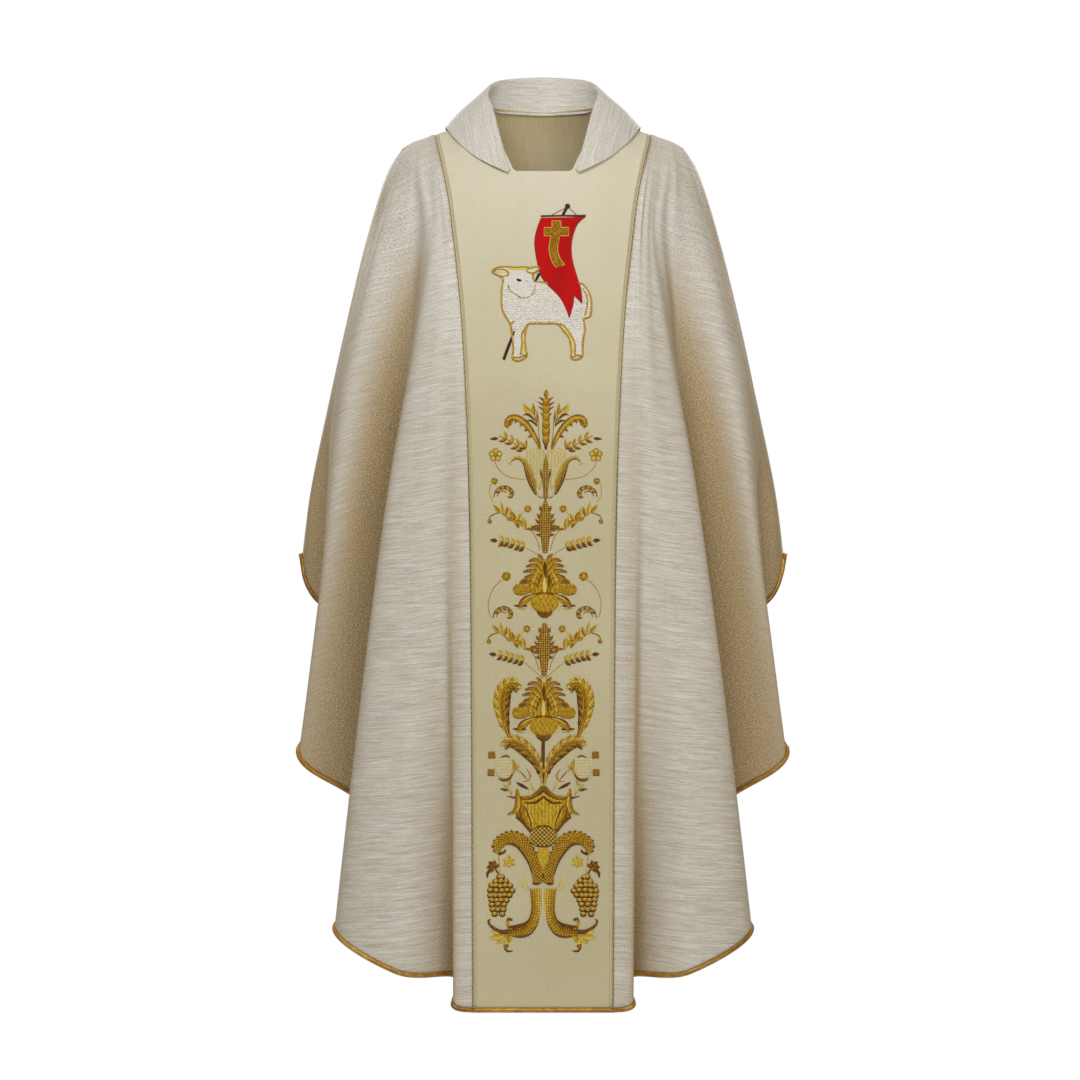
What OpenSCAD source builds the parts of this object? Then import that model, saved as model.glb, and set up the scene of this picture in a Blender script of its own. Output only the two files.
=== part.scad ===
// Lined gothic chasuble with an embroidered orphrey and a turned-down collar, as it hangs when worn.
// Origin: centre of the neck opening at the shoulder line. +Z up, the front faces -Y.

/* [Garment] */
// Length from the neck point of the shoulder line down to the front hem
body_length = 1310; // [1260:2:1360]
// Half width of the hanging garment at its widest fold
half_width = 364; // [345:1:380]
// Depth of the front from the shoulder line to the chest plane
chest_depth = 143; // [130:1:155]
// Back depth as a share of the front depth
back_share = 0.92; // [0.8:0.01:1]

/* [Cloth] */
// Thickness of the brocade and of the orphrey cloth
cloth_t = 1.2; // [0.8:0.1:1.4]
// Thickness of the orphrey interlining
interlining_t = 0.7; // [0.4:0.1:0.8]
// Thickness of the lining
lining_t = 0.6; // [0.4:0.1:0.8]
// Space between two layers of cloth
layer_gap = 0.2; // [0.1:0.05:0.3]

/* [Trim] */
// Width of the orphrey at the front hem
orphrey_w = 208; // [190:1:220]
// Width of the galloon over each orphrey seam
galloon_w = 6; // [4:0.5:9]
// Height of the galloon above the cloth
galloon_t = 1.6; // [1:0.1:2.5]
// Diameter of the rolled hem binding
binding_d = 9; // [6:0.5:11]
// Height of the embroidery above the orphrey
stitch_t = 1.2; // [0.8:0.1:2]

/* [Neck] */
// Half width of the straight front neckline
neckline_half = 48; // [44:1:52]
// Depth of the front neckline below the shoulder line
neckline_drop = 70; // [65:1:75]

/* [Hidden] */

FINE = 48;
// Share of a fold line's drop that each of its eight points lies at
DROP = [0, 0.05, 0.13, 0.27, 0.45, 0.65, 0.84, 1];
// Fold lines of one front half, from the orphrey seam out to the side: height at the shoulder,
// height at the hem, then the distance from the middle and the depth at the eight points.
FOLDS = [
    [-9, -1310, [163, 147, 132, 116, 109, 106, 105, 104], [0, -63, -95, -136, -143, -143, -143, -143]],
    [-10, -1302, [166, 152, 140, 133, 133, 133, 133, 132], [0, -62, -94, -136, -143, -143, -144, -145]],
    [-11, -1278, [169, 157, 147, 147, 150, 147, 139, 129], [0, -60, -90, -133, -137, -128, -112, -100]],
    [-13, -1257, [173, 164, 157, 165, 184, 200, 210, 215], [0, -57, -87, -126, -134, -138, -146, -150]],
    [-15, -1190, [179, 173, 165, 189, 228, 261, 288, 309], [0, -52, -82, -108, -112, -112, -106, -98]],
    [-17, -1130, [185, 184, 175, 194, 214, 220, 212, 205], [0, -46, -72, -80, -72, -62, -52, -44]],
    [-19, -1060, [191, 194, 188, 196, 200, 180, 163, 152], [0, -39, -58, -60, -44, -24, -14, -10]],
    [-21, -993, [196, 203, 209, 220, 241, 258, 274, 290], [0, -32, -50, -58, -52, -44, -40, -35]],
    [-24, -925, [201, 213, 235, 262, 289, 315, 343, 364], [0, -23, -36, -52, -58, -58, -50, -38]],
    [-26, -801, [205, 221, 240, 272, 306, 322, 296, 250], [0, -13, -22, -28, -30, -24, -8, 0]],
    [-28, -699, [208, 227, 246, 273, 303, 330, 349, 345], [0, -4, -6, -6, -4, 0, 5, 10]],
    [-30, -639, [211, 231, 249, 273, 299, 326, 350, 363], [0, 4, 6, 9, 13, 17, 22, 25]]
];
SIDE = len(FOLDS) - 1;
TABLE_LENGTH = 1310;
TABLE_HALF_WIDTH = 364;
TABLE_DEPTH = 143;
TABLE_ORPHREY = 208;
// How much narrower the folds of the back hang
BACK_TUCK = 0.03;

// Height of the shoulder ridge by distance from the middle, front and back
RIDGE = [[0, 40], [78, 40], [92, 33], [106, 23], [124, 10], [145, -3], [163, -9], [211, -30]];
BACK_RIDGE = [[0, 108], [22, 103], [44, 90], [66, 69], [88, 40], [106, 23], [124, 10], [145, -3], [163, -9]];
// Depth of the cloth in front of the ridge by the drop below it
CHEST = [[0, 0], [8, 14], [20, 28], [50, 54], [110, 78], [405, 140], [440, 143], [2000, 143]];
CHEST_TILT = atan((140 - 78) / (405 - 110));
CHEST_TOP = 78;
// Half width of the orphrey by height
ORPHREY = [[-1312, 104], [-862, 106], [-612, 108], [-437, 113], [-322, 119], [-268, 123], [-209, 129],
           [-158, 135], [-112, 141], [-56, 152], [-8, 163], [40, 169]];
// Top edge of the orphrey by its share of the half width: neckline, neck hole, shoulder seam
SEAM_SHARE = 0.55;

// Edge where the collar rolls over, and its outer edge, from the front point round to the centre back
COLLAR_ROLL = [[49, -80, -68], [59, -69, -38], [68, -53, -7], [77, -31, 26], [85, -5, 50], [82, 25, 66],
               [68, 50, 76], [39, 68, 81], [0, 74, 83]];
COLLAR_EDGE = [[53, -84, -72], [81, -80, -59], [107, -65, -43], [132, -38, -19], [147, 2, 2],
               [139, 36, -15], [110, 64, -36], [61, 86, -50], [0, 94, -54]];
COLLAR_FOOT = [[48, -76, -66], [57, -64, -41], [66, -49, -10], [74, -30, 17], [82, -4, 34], [77, 26, 38],
               [62, 44, 38], [35, 56, 37], [0, 61, 36]];
COLLAR_ROUND = 7;
COLLAR_T = 1.2;
COLLAR_LAYER = 0.5;
UNDER_T = 0.8;
// Part of the collar's length and of its fall that the inner layers cover
COLLAR_TRIM = 0.08;
FALL_START = 0.58;
FALL_END = 0.96;

// ---- smooth curves ----
function at(list, i) = list[max(0, min(len(list) - 1, i))];
function cubic(a, b, c, d, t) =
    0.5 * (2 * b + (c - a) * t + (2 * a - 5 * b + 4 * c - d) * t * t + (3 * b - 3 * c + d - a) * t * t * t);
function along(list, s) =
    let (n = len(list) - 1, i = min(floor(s * n), n - 1))
    cubic(at(list, i - 1), at(list, i), at(list, i + 1), at(list, i + 2), s * n - i);
function steps(n) = [for (i = [0 : n]) i / n];
function unit(v) = v / max(norm(v), 0.000001);
function flip_x(p) = [-p[0], p[1], p[2]];

// ---- the hanging surface ----
function fold_point(f, v) = [along(f[2], v), along(f[3], v), f[0] + along(DROP, v) * (f[1] - f[0])];
function to_size(p) = [p[0] * half_width / TABLE_HALF_WIDTH, p[1] * chest_depth / TABLE_DEPTH,
                       p[2] * body_length / TABLE_LENGTH];
function back_of(p, i, side_y) =
    let (w = pow(i / SIDE, 2))
    [p[0] * (1 - BACK_TUCK * (1 - w)), -back_share * p[1] + (1 + back_share) * side_y * w, p[2]];
function side_row(v, back) =
    let (row = [for (f = FOLDS) fold_point(f, v)], side_y = row[SIDE][1])
    [for (i = [0 : SIDE]) to_size(back ? back_of(row[i], i, side_y) : row[i])];
// Grid of the body panel on the +X side: rows run down, columns run from the orphrey to the side
function side_grid(rows, columns, back) =
    [for (v = steps(rows)) let (row = side_row(v, back)) [for (u = steps(columns)) along(row, u)]];

function orphrey_half(z) = lookup(z, ORPHREY) * orphrey_w / TABLE_ORPHREY;
function ridge(x, back) = lookup(abs(x), back ? BACK_RIDGE : RIDGE);
function cloth_y(x, z, back) =
    (back ? back_share : -1) * lookup(ridge(x, back) - z, CHEST) * chest_depth / TABLE_DEPTH;
function neck_side(s) = -neckline_drop + (33 + neckline_drop) * s;
// Height of the top edge of the strip: the neckline, the side of the neck hole, the shoulder seam
function strip_top(a, back) =
    let (x = a * 166)
    a >= SEAM_SHARE ? ridge(x, false) :
    back ? 30 + 4 * a / SEAM_SHARE :
    x <= neckline_half ? -neckline_drop :
    neck_side((x - neckline_half) / (SEAM_SHARE * 166 - neckline_half));
function strip_point(a, v, back) =
    let (top = strip_top(abs(a), back), z = top + along(DROP, v) * (-body_length - top),
         x = a * orphrey_half(z))
    [x, abs(a) >= SEAM_SHARE && v == 0 ? 0 : cloth_y(x, z, back), z];
// Grid of the middle strip between the two orphrey seams, left to right
function strip_grid(rows, columns, back) =
    [for (v = steps(rows)) [for (u = steps(columns)) strip_point(2 * u - 1, v, back)]];

// ---- shells ----
function grid_normal(g, r, c) =
    let (rows = len(g) - 1, cols = len(g[0]) - 1,
         down = g[min(r + 1, rows)][c] - g[max(r - 1, 0)][c],
         across = g[r][min(c + 1, cols)] - g[r][max(c - 1, 0)])
    unit(cross(down, across));
function lifted(g, d) =
    [for (r = [0 : len(g) - 1]) for (c = [0 : len(g[0]) - 1]) g[r][c] + d * grid_normal(g, r, c)];
function sheet_faces(rows, cols, start, flip) =
    [for (r = [0 : rows - 1]) for (c = [0 : cols - 1])
        let (a = start + r * (cols + 1) + c, b = a + 1, d = a + cols + 1, e = d + 1)
        for (tri = [[a, b, e], [a, e, d]]) flip ? [tri[2], tri[1], tri[0]] : tri];
function rim(rows, cols) =
    concat([for (c = [0 : cols - 1]) c], [for (r = [0 : rows - 1]) r * (cols + 1) + cols],
           [for (c = [cols : -1 : 1]) rows * (cols + 1) + c], [for (r = [rows : -1 : 1]) r * (cols + 1)]);
function rim_faces(loop, other) =
    [for (i = [0 : len(loop) - 1])
        let (a = loop[i], b = loop[(i + 1) % len(loop)])
        for (tri = [[b, a, a + other], [b, a + other, b + other]]) tri];
// Closed shell between two distances from the grid, measured along its normal
module shell(grid, near, far) {
    rows = len(grid) - 1;
    cols = len(grid[0]) - 1;
    count = (rows + 1) * (cols + 1);
    points = concat(lifted(grid, near), lifted(grid, far));
    faces = concat(sheet_faces(rows, cols, 0, false), sheet_faces(rows, cols, count, true),
                   rim_faces(rim(rows, cols), count));
    polyhedron(points = points, faces = faces, convexity = 10);
}

// Closed tube along a path, with its first cross axis near the given direction
function path_axis(path, i) = unit(path[min(i + 1, len(path) - 1)] - path[max(i - 1, 0)]);
function tube_ring(path, i, sides, width, height, up) =
    let (t = path_axis(path, i), side = unit(cross(t, up)), top = unit(cross(side, t)))
    [for (k = [0 : sides - 1])
        path[i] + side * cos(360 * k / sides) * width / 2 + top * sin(360 * k / sides) * height / 2];
function tube_faces(rings, sides) =
    concat([[for (k = [sides - 1 : -1 : 0]) k]],
           [for (i = [0 : rings - 2]) for (k = [0 : sides - 1])
               let (a = i * sides + k, b = i * sides + (k + 1) % sides)
               for (tri = [[a, b, b + sides], [a, b + sides, a + sides]]) tri],
           [[for (k = [0 : sides - 1]) (rings - 1) * sides + k]]);
module tube(path, sides, width, height, up) {
    points = [for (i = [0 : len(path) - 1]) for (p = tube_ring(path, i, sides, width, height, up)) p];
    polyhedron(points = points, faces = tube_faces(len(path), sides), convexity = 10);
}

// ---- body, lining and stiffening ----
ROWS = 11;
SIDE_COLUMNS = 24;
STRIP_COLUMNS = 8;
HEM_COLUMNS = 30;
GALLOON_RINGS = 20;
// Share of the full width that the orphrey and its interlining are cut to
STRIP_SHARE = 0.997;
STIFFENER_SHARE = 0.96;
INTERLINING_IN = cloth_t + layer_gap;
LINING_IN = INTERLINING_IN + interlining_t + layer_gap;
FACING_T = 0.8;
FACING_H = 30;
FACING_IN = LINING_IN + lining_t + layer_gap + FACING_T;
TAPE_W = 10;
TAPE_T = 0.8;
TAPE_DROP = 8;
STITCH_GAP = 0.15;
// The column of embroidery stands this far to the side of the middle
COLUMN_X = 1;
// Heights in the embroidery are counted from this far below the origin
LAMB_DROP = 10;
COLUMN_DROP = 12;

module strip(back, outer, inner, share) {
    grid = strip_grid(ROWS, STRIP_COLUMNS, back);
    narrow = [for (row = grid) [for (p = row) [p[0] * share, p[1], p[2]]]];
    if (back) shell(narrow, inner, outer);
    else shell(narrow, -outer, -inner);
}
module side_layer(back, outer, inner) {
    grid = side_grid(ROWS, SIDE_COLUMNS, back);
    if (back) shell(grid, inner, outer);
    else shell(grid, -outer, -inner);
}
module lining(back) {
    inner = LINING_IN + lining_t;
    side_layer(back, LINING_IN, inner);
    mirror([1, 0, 0]) side_layer(back, LINING_IN, inner);
    strip(back, LINING_IN, inner, STRIP_SHARE);
}

module front_orphrey() { color("#dcd5b4") strip(false, 0, cloth_t, STRIP_SHARE); }
module back_orphrey() { color("#dcd5b4") strip(true, 0, cloth_t, STRIP_SHARE); }
module body_side(back) { color("#d0c8b6") side_layer(back, 0, cloth_t); }
module front_body_right() { body_side(false); }
module front_body_left() { mirror([1, 0, 0]) body_side(false); }
module back_body_right() { body_side(true); }
module back_body_left() { mirror([1, 0, 0]) body_side(true); }
module front_lining() { color("#e3dcc6") lining(false); }
module back_lining() { color("#e3dcc6") lining(true); }
module interlining(back) {
    color("#efece2") strip(back, INTERLINING_IN, INTERLINING_IN + interlining_t, STIFFENER_SHARE);
}
module front_interlining() { interlining(false); }
module back_interlining() { interlining(true); }

// ---- collar ----
function both_sides(list) = concat(list, [for (i = [len(list) - 2 : -1 : 0]) flip_x(list[i])]);
function radial(p) = unit([p[0], p[1], norm([p[0], p[1]])]);
function collar_rows(t) =
    let (foot = along(both_sides(COLLAR_FOOT), t), roll = along(both_sides(COLLAR_ROLL), t),
         edge = along(both_sides(COLLAR_EDGE), t), rise = COLLAR_ROUND * sin(180 * t),
         mid = (roll + edge) / 2)
    [foot, (foot + roll) / 2, roll, mid + rise * radial(mid), edge];
function collar_grid(rows, columns, from, to, first, last) =
    [for (v = steps(rows)) [for (u = steps(columns))
        along(collar_rows(from + (to - from) * u), first + (last - first) * v)]];
module top_collar() { color("#cfc7b4") shell(collar_grid(7, 30, 0, 1, 0, 1), 0, -COLLAR_T); }
module collar_layer(outer, inner) {
    shell(collar_grid(4, 24, COLLAR_TRIM, 1 - COLLAR_TRIM, FALL_START, FALL_END), -outer, -inner);
}
module collar_interlining() {
    start = COLLAR_T + layer_gap;
    color("#efece2") collar_layer(start, start + COLLAR_LAYER);
}
module under_collar() {
    start = COLLAR_T + 2 * layer_gap + COLLAR_LAYER;
    color("#b9a67e") collar_layer(start, start + UNDER_T);
}
module neckline_facing() {
    color("#d9cfa8") on_chest() translate([0, -FACING_H / 2 - 1, -FACING_IN])
        linear_extrude(FACING_T) square([2 * neckline_half - 4, FACING_H], center = true);
}
module shoulder_tape(side) {
    path = [for (x = [96 : 12 : 204]) [side * x, 0, lookup(x, RIDGE) - TAPE_DROP]];
    color("#e8e2d0") tube(path, 6, TAPE_W, TAPE_T, [0, 0, 1]);
}
module shoulder_tape_left() { shoulder_tape(-1); }
module shoulder_tape_right() { shoulder_tape(1); }

// ---- trim ----
module galloon(side, back) {
    lift = (galloon_t / 2 + layer_gap) * (back ? 1 : -1);
    path = [for (v = steps(GALLOON_RINGS))
        strip_point(side, 0.01 + 0.985 * v, back) + [0, lift, abs(lift) * 0.6]];
    color("#b98f2e") tube(path, 6, galloon_w, galloon_t, [0, back ? 1 : -1, 0.8]);
}
module galloon_front_left() { galloon(-1, false); }
module galloon_front_right() { galloon(1, false); }
module galloon_back_left() { galloon(-1, true); }
module galloon_back_right() { galloon(1, true); }
function hem_side(back) =
    let (g = side_grid(ROWS, HEM_COLUMNS, back), r = ROWS)
    [for (c = [0 : HEM_COLUMNS])
        let (t = g[r][min(c + 1, HEM_COLUMNS)] - g[r][max(c - 1, 0)], n = grid_normal(g, r, c))
        g[r][c] + (binding_d / 2 + layer_gap) * unit(cross(t, n))];
module hem_binding(back) {
    half = hem_side(back);
    middle_z = half[0][2];
    across = [for (k = [-3 : 3]) [k * half[0][0] / 4, half[0][1], middle_z]];
    left = [for (i = [HEM_COLUMNS : -1 : 0]) flip_x(half[i])];
    path = concat(left, across, half);
    color("#a9791f") tube(path, 6, binding_d, binding_d, [0, back ? 1 : -1, 0.5]);
}
module hem_binding_front() { hem_binding(false); }
module hem_binding_back() { hem_binding(true); }

// ---- embroidery: flat shapes drawn in the plane of the cloth, x across and y up ----
module on_chest() { translate([0, -CHEST_TOP * chest_depth / TABLE_DEPTH, -neckline_drop])
    rotate([90 - CHEST_TILT, 0, 0]) children(); }
function chest(p) = [p[0], (p[1] + neckline_drop - LAMB_DROP) / cos(CHEST_TILT)];
function chest_all(list) = [for (p = list) chest(p)];
module chest_patch(layer) {
    on_chest() translate([0, 0, STITCH_GAP + layer * (stitch_t + STITCH_GAP)])
        linear_extrude(stitch_t) children();
}
module front_patch() {
    translate([COLUMN_X, -chest_depth - STITCH_GAP, -COLUMN_DROP]) rotate([90, 0, 0])
        linear_extrude(stitch_t) children();
}
module back_patch() {
    translate([0, back_share * chest_depth + STITCH_GAP + stitch_t, -COLUMN_DROP]) rotate([90, 0, 0])
        linear_extrude(stitch_t) children();
}
module pair() {
    children();
    mirror([1, 0]) children();
}
// Smooth closed outline through a few points
function loop_at(list, i) = list[(i + len(list)) % len(list)];
function smooth_loop(list, n) =
    [for (i = [0 : len(list) - 1]) for (k = [0 : n - 1])
        cubic(loop_at(list, i - 1), loop_at(list, i), loop_at(list, i + 1), loop_at(list, i + 2), k / n)];
// Band of even width along a smooth line, and round a smooth outline
function side_step(pts, i, w, closed) =
    let (a = closed ? loop_at(pts, i - 1) : at(pts, i - 1),
         b = closed ? loop_at(pts, i + 1) : at(pts, i + 1), t = unit(b - a))
    [-t[1], t[0]] * w / 2;
module stroke(list, w, n = 3) {
    pts = [for (s = steps((len(list) - 1) * n)) along(list, s)];
    last = len(pts) - 1;
    polygon(concat([for (i = [0 : last]) pts[i] + side_step(pts, i, w, false)],
                   [for (i = [last : -1 : 0]) pts[i] - side_step(pts, i, w, false)]));
}
module outline(list, w, n = 3) {
    pts = smooth_loop(list, n);
    last = len(pts) - 1;
    difference() {
        polygon([for (i = [0 : last]) pts[i] + side_step(pts, i, w, true)]);
        polygon([for (i = [0 : last]) pts[i] - side_step(pts, i, w, true)]);
    }
}
// Pointed leaf from its foot, along an angle
module leaf(x, y, angle, long, wide) {
    half = [for (s = [0.3, 0.7]) [long * s, wide / 2 * pow(sin(180 * pow(s, 0.8)), 0.8)]];
    translate([x, y]) rotate(angle)
        polygon(concat([[0, 0]], half, [[long, 0]], [for (i = [1 : -1 : 0]) [half[i][0], -half[i][1]]]));
}
module sprig(list, stem_w, count, long, wide) {
    stroke(list, stem_w);
    for (k = [1 : count]) {
        s = k / (count + 0.4);
        p = along(list, s);
        t = along(list, min(s + 0.05, 1)) - along(list, s - 0.05);
        a = atan2(t[1], t[0]);
        leaf(p[0], p[1], a + 48, long, wide);
        leaf(p[0], p[1], a - 48, long, wide);
    }
}
// Rings of petals and dots
module rosette(x, y, petals, reach, dot) {
    translate([x, y]) {
        for (k = [0 : petals - 1]) rotate(90 + k * 360 / petals) translate([reach, 0]) circle(d = reach * 1.05);
        circle(d = dot);
    }
}
// Spindle of overlapping scales
module cone(top, bottom, half) {
    rows = 7;
    for (k = [0 : rows - 1]) {
        s = (k + 0.5) / rows;
        y = top + (bottom - top) * s;
        w = half * sin(180 * pow(s, 0.85));
        for (j = [-1 : 1]) leaf(j * w * 0.75, y - 2, 90 - j * 22, (top - bottom) / rows * 1.45, 5);
    }
}
// Fan of petals round a foot
module fan(x, y, from, to, count, long, wide) {
    for (k = [0 : count - 1]) {
        a = from + (to - from) * k / (count - 1);
        leaf(x, y, a, long * (0.78 + 0.22 * abs(cos(2 * (a - 90)))), wide);
    }
}
module curl(x, y, r, start, turn, w) {
    stroke([for (k = [0 : 5]) [x + r * (1 - 0.14 * k) * cos(start + turn * k / 5),
                               y + r * (1 - 0.14 * k) * sin(start + turn * k / 5)]], w);
}

module banner_staff() {
    color("#4a2a1c") chest_patch(0) {
        stroke(chest_all([[35, -119], [30, -126]]), 5, 1);
        translate(chest([36, -113])) circle(d = 9, $fn = FINE);
        stroke(chest_all([[-6, -217], [-12, -229]]), 4.5, 1);
        stroke(chest_all([[-44, -304], [-58, -343]]), 4.5, 1);
    }
}
module banner_crossbar() { color("#5a3524") chest_patch(0) stroke(chest_all([[-3, -129], [63, -128]]), 3.4, 1); }
module banner_cords() {
    color("#5a3524") chest_patch(0) {
        stroke(chest_all([[31, -115], [22, -120], [12, -126]]), 1.6, 1);
        stroke(chest_all([[41, -116], [45, -121], [50, -126]]), 1.6, 1);
    }
}
BANNER = [[-2, -132], [-8, -146], [-12, -165], [-11, -182], [-8, -199], [-4, -213], [5, -229], [22, -245],
          [32, -262], [39, -280], [44, -264], [47, -247], [58, -259], [56, -239], [49, -216], [43, -193],
          [42, -171], [46, -152], [52, -139], [61, -131]];
module banner_field() { color("#c01515") chest_patch(2) polygon(chest_all(BANNER)); }
module banner_cross() {
    color("#b98a2c") chest_patch(3) {
        stroke(chest_all([[2, -152], [38, -153]]), 12, 1);
        stroke(chest_all([[20, -138], [19, -159], [16, -180], [24, -204]]), 12);
    }
}
LAMB = [[-74, -210], [-60, -207], [-48, -202], [-34, -200], [-20, -203], [-6, -208], [-14, -219], [-12, -231],
        [10, -233], [38, -227], [58, -233], [70, -250], [69, -276], [61, -288], [63, -304], [58, -322],
        [60, -338], [47, -341], [44, -318], [34, -302], [20, -290], [-8, -290], [-22, -294], [-25, -312],
        [-24, -333], [-38, -343], [-40, -320], [-45, -300], [-57, -284], [-62, -262], [-60, -240], [-63, -224]];
module lamb_fleece() { color("#f1efe6") chest_patch(0) polygon(smooth_loop(chest_all(LAMB), 3)); }
module lamb_outline() { color("#b58a2a") chest_patch(1) outline(chest_all(LAMB), 2.6); }
module lamb_face() {
    color("#6b5638") chest_patch(1) {
        translate(chest([-36, -225])) circle(d = 4, $fn = FINE);
        stroke(chest_all([[-56, -225], [-52, -238], [-40, -246], [-26, -243], [-19, -232]]), 1.8);
    }
}

GOLD = "#b0822a";
PALE = "#d9c58a";
module wheat_shape() {
    for (k = [0 : 8]) {
        y = -472 + 9 * k;
        leaf(0, y, 62, 15 - 0.7 * k, 5);
        leaf(0, y, 118, 15 - 0.7 * k, 5);
    }
    leaf(0, -400, 90, 15, 5);
    stroke([[0, -474], [0, -402]], 3, 1);
    pair() sprig([[5, -446], [15, -430], [30, -410]], 1.6, 3, 10, 4);
}
module frond_shape() {
    pair() {
        stroke([[7, -474], [22, -462], [34, -444], [46, -430], [58, -428], [60, -437]], 6);
        fan(40, -440, 20, 140, 5, 16, 5);
    }
}
module tulip_shape() {
    pair() {
        polygon(smooth_loop([[2, -545], [9, -540], [18, -515], [28, -496], [48, -490], [44, -484], [26, -482],
                             [14, -492], [7, -510]], 2));
        leaf(3, -506, 70, 28, 7);
    }
    leaf(0, -516, 90, 40, 8);
}
module branch_shape() { pair() sprig([[32, -474], [52, -462], [80, -458]], 1.8, 5, 11, 4.5); }
module ring_flower_shape() {
    pair() {
        for (p = [[75, -482], [55, -661], [75, -521]]) rosette(p[0], p[1], 5, 4.4, 3.6);
        stroke([[74, -488], [66, -506], [46, -520], [24, -532]], 1.4);
        stroke([[58, -667], [80, -690], [84, -720], [76, -740]], 1.4);
    }
}
module fern_shape() {
    pair() for (y = [-538, -716]) {
        curl(58, y, 13, 200, -230, 2.4);
        fan(54, y - 4, 20, 150, 5, 11, 4);
    }
}
module garland_shape() {
    pair() for (y = [0, -180]) {
        sprig([[4, -604 + y], [24, -596 + y], [44, -580 + y], [68, -556 + y]], 2, 5, 12, 5);
        translate([26, -561 + y]) circle(d = 7, $fn = FINE);
        curl(80, -577 + y, 6, 180, 260, 2);
    }
}
module spray_shape() {
    pair() for (y = [0, -168]) sprig([[10, -626 + y], [40, -618 + y], [79, -608 + y]], 1.8, 5, 12, 5);
}
module palmette_shape(y) {
    fan(0, y - 74, 28, 152, 9, 68, 12);
    pair() {
        leaf(6, y - 62, -12, 40, 13);
        leaf(4, y - 84, -30, 26, 8);
        rosette(36, y - 55, 6, 5, 5);
    }
    translate([0, y - 84]) circle(d = 18, $fn = FINE);
}
module plume_shape() {
    pair() {
        polygon(smooth_loop([[54, -896], [62, -884], [74, -858], [78, -836], [70, -818], [52, -816], [40, -826],
                             [50, -830], [60, -838], [60, -856], [52, -878]], 2));
        leaf(56, -900, 60, 26, 7);
    }
}
module stem_shape() {
    stroke([[0, -904], [-1, -935], [0, -966]], 6, 2);
    pair() {
        sprig([[2, -964], [24, -948], [44, -926], [57, -912]], 5, 5, 16, 7);
        leaf(3, -966, 10, 26, 8);
    }
}
module thistle_shape() {
    pair() {
        translate([57, -941]) square([24, 22], center = true);
        for (y = [-925, -951]) translate([77, y]) square([10, 9], center = true);
        fan(57, -930, 40, 140, 5, 16, 5);
        sprig([[20, -984], [38, -972], [54, -968]], 1.6, 3, 9, 4);
    }
}
module crown_shape() {
    polygon([[0, -970], [14, -990], [34, -984], [53, -986], [48, -1000], [53, -1013], [32, -1020], [19, -1036],
             [-19, -1036], [-32, -1020], [-53, -1013], [-48, -1000], [-53, -986], [-34, -984], [-14, -990]]);
}
module ball_shape() {
    for (k = [0 : 4]) for (j = [0 : 3 - abs(k - 2)])
        translate([(k - 2) * 7.4, -1046 + (j - (3 - abs(k - 2)) / 2) * 6.6])
            rotate(45) square(4.6, center = true);
}
module horn_shape() {
    pair() {
        stroke([[8, -1106], [20, -1084], [27, -1060], [42, -1046], [60, -1046]], 9);
        stroke([[59, -1046], [70, -1052], [74, -1062], [68, -1070]], 4.5);
        stroke([[12, -1113], [26, -1111], [42, -1107], [56, -1103]], 2);
    }
    translate([0, -1077]) circle(d = 17, $fn = FINE);
}
module grape_shape() {
    pair() for (k = [0 : 6]) for (j = [0 : min(3, 5 - abs(k - 2))])
        translate([61 + (j - min(3, 5 - abs(k - 2)) / 2) * 9.4, -1108 - k * 8.4]) circle(d = 8, $fn = FINE);
}
module vine_shape() { pair() { fan(52, -1086, 10, 250, 6, 12, 7); fan(78, -1094, -60, 240, 6, 13, 7); } }
module leg_shape() {
    pair() {
        stroke([[10, -1124], [16, -1146], [27, -1168], [43, -1182], [62, -1187]], 8);
        stroke([[61, -1187], [74, -1184], [81, -1175], [76, -1167]], 4);
        fan(32, -1150, 20, 110, 4, 17, 6);
        curl(27, -1112, 8, 90, -200, 1.6);
    }
}
module base_leaf_shape() { pair() { fan(52, -1194, 190, 340, 6, 22, 8); leaf(22, -1180, 250, 20, 8); } }

module wheat_finial() { color(GOLD) front_patch() wheat_shape(); }
module acanthus_fronds() { color(GOLD) front_patch() frond_shape(); }
module tulip() { color(PALE) front_patch() tulip_shape(); }
module side_branches() { color(GOLD) front_patch() branch_shape(); }
module ring_flowers() { color(GOLD) front_patch() ring_flower_shape(); }
module curled_ferns() { color(GOLD) front_patch() fern_shape(); }
module garlands() { color(GOLD) front_patch() garland_shape(); }
module cone_upper() { color("#8a6a2c") front_patch() cone(-553, -626, 11); }
module leaf_sprays() { color(GOLD) front_patch() spray_shape(); }
module palmette_upper() { color(GOLD) front_patch() palmette_shape(-630); }
module cone_lower() { color("#8a6a2c") front_patch() cone(-731, -806, 11); }
module palmette_lower() { color(GOLD) front_patch() palmette_shape(-812); }
module acanthus_plumes() { color(GOLD) front_patch() plume_shape(); }
module stem_leaves() { color("#8a6a2c") front_patch() stem_shape(); }
module thistles() { color(PALE) front_patch() thistle_shape(); }
module crown_fan() { color(GOLD) front_patch() crown_shape(); }
module checkered_ball() { color("#8a6a2c") front_patch() ball_shape(); }
module horn_scrolls() { color(GOLD) front_patch() horn_shape(); }
module grape_clusters() { color("#8a6a2c") front_patch() grape_shape(); }
module vine_leaves() { color(GOLD) front_patch() vine_shape(); }
module scroll_legs() { color(GOLD) front_patch() leg_shape(); }
module base_leaves() { color(GOLD) front_patch() base_leaf_shape(); }
module back_column_top() {
    color(GOLD) back_patch() {
        wheat_shape();
        frond_shape();
        tulip_shape();
        branch_shape();
    }
}
module back_column_middle() {
    color(GOLD) back_patch() {
        garland_shape();
        cone(-553, -626, 11);
        palmette_shape(-630);
        cone(-731, -806, 11);
        palmette_shape(-812);
        plume_shape();
    }
}
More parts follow.
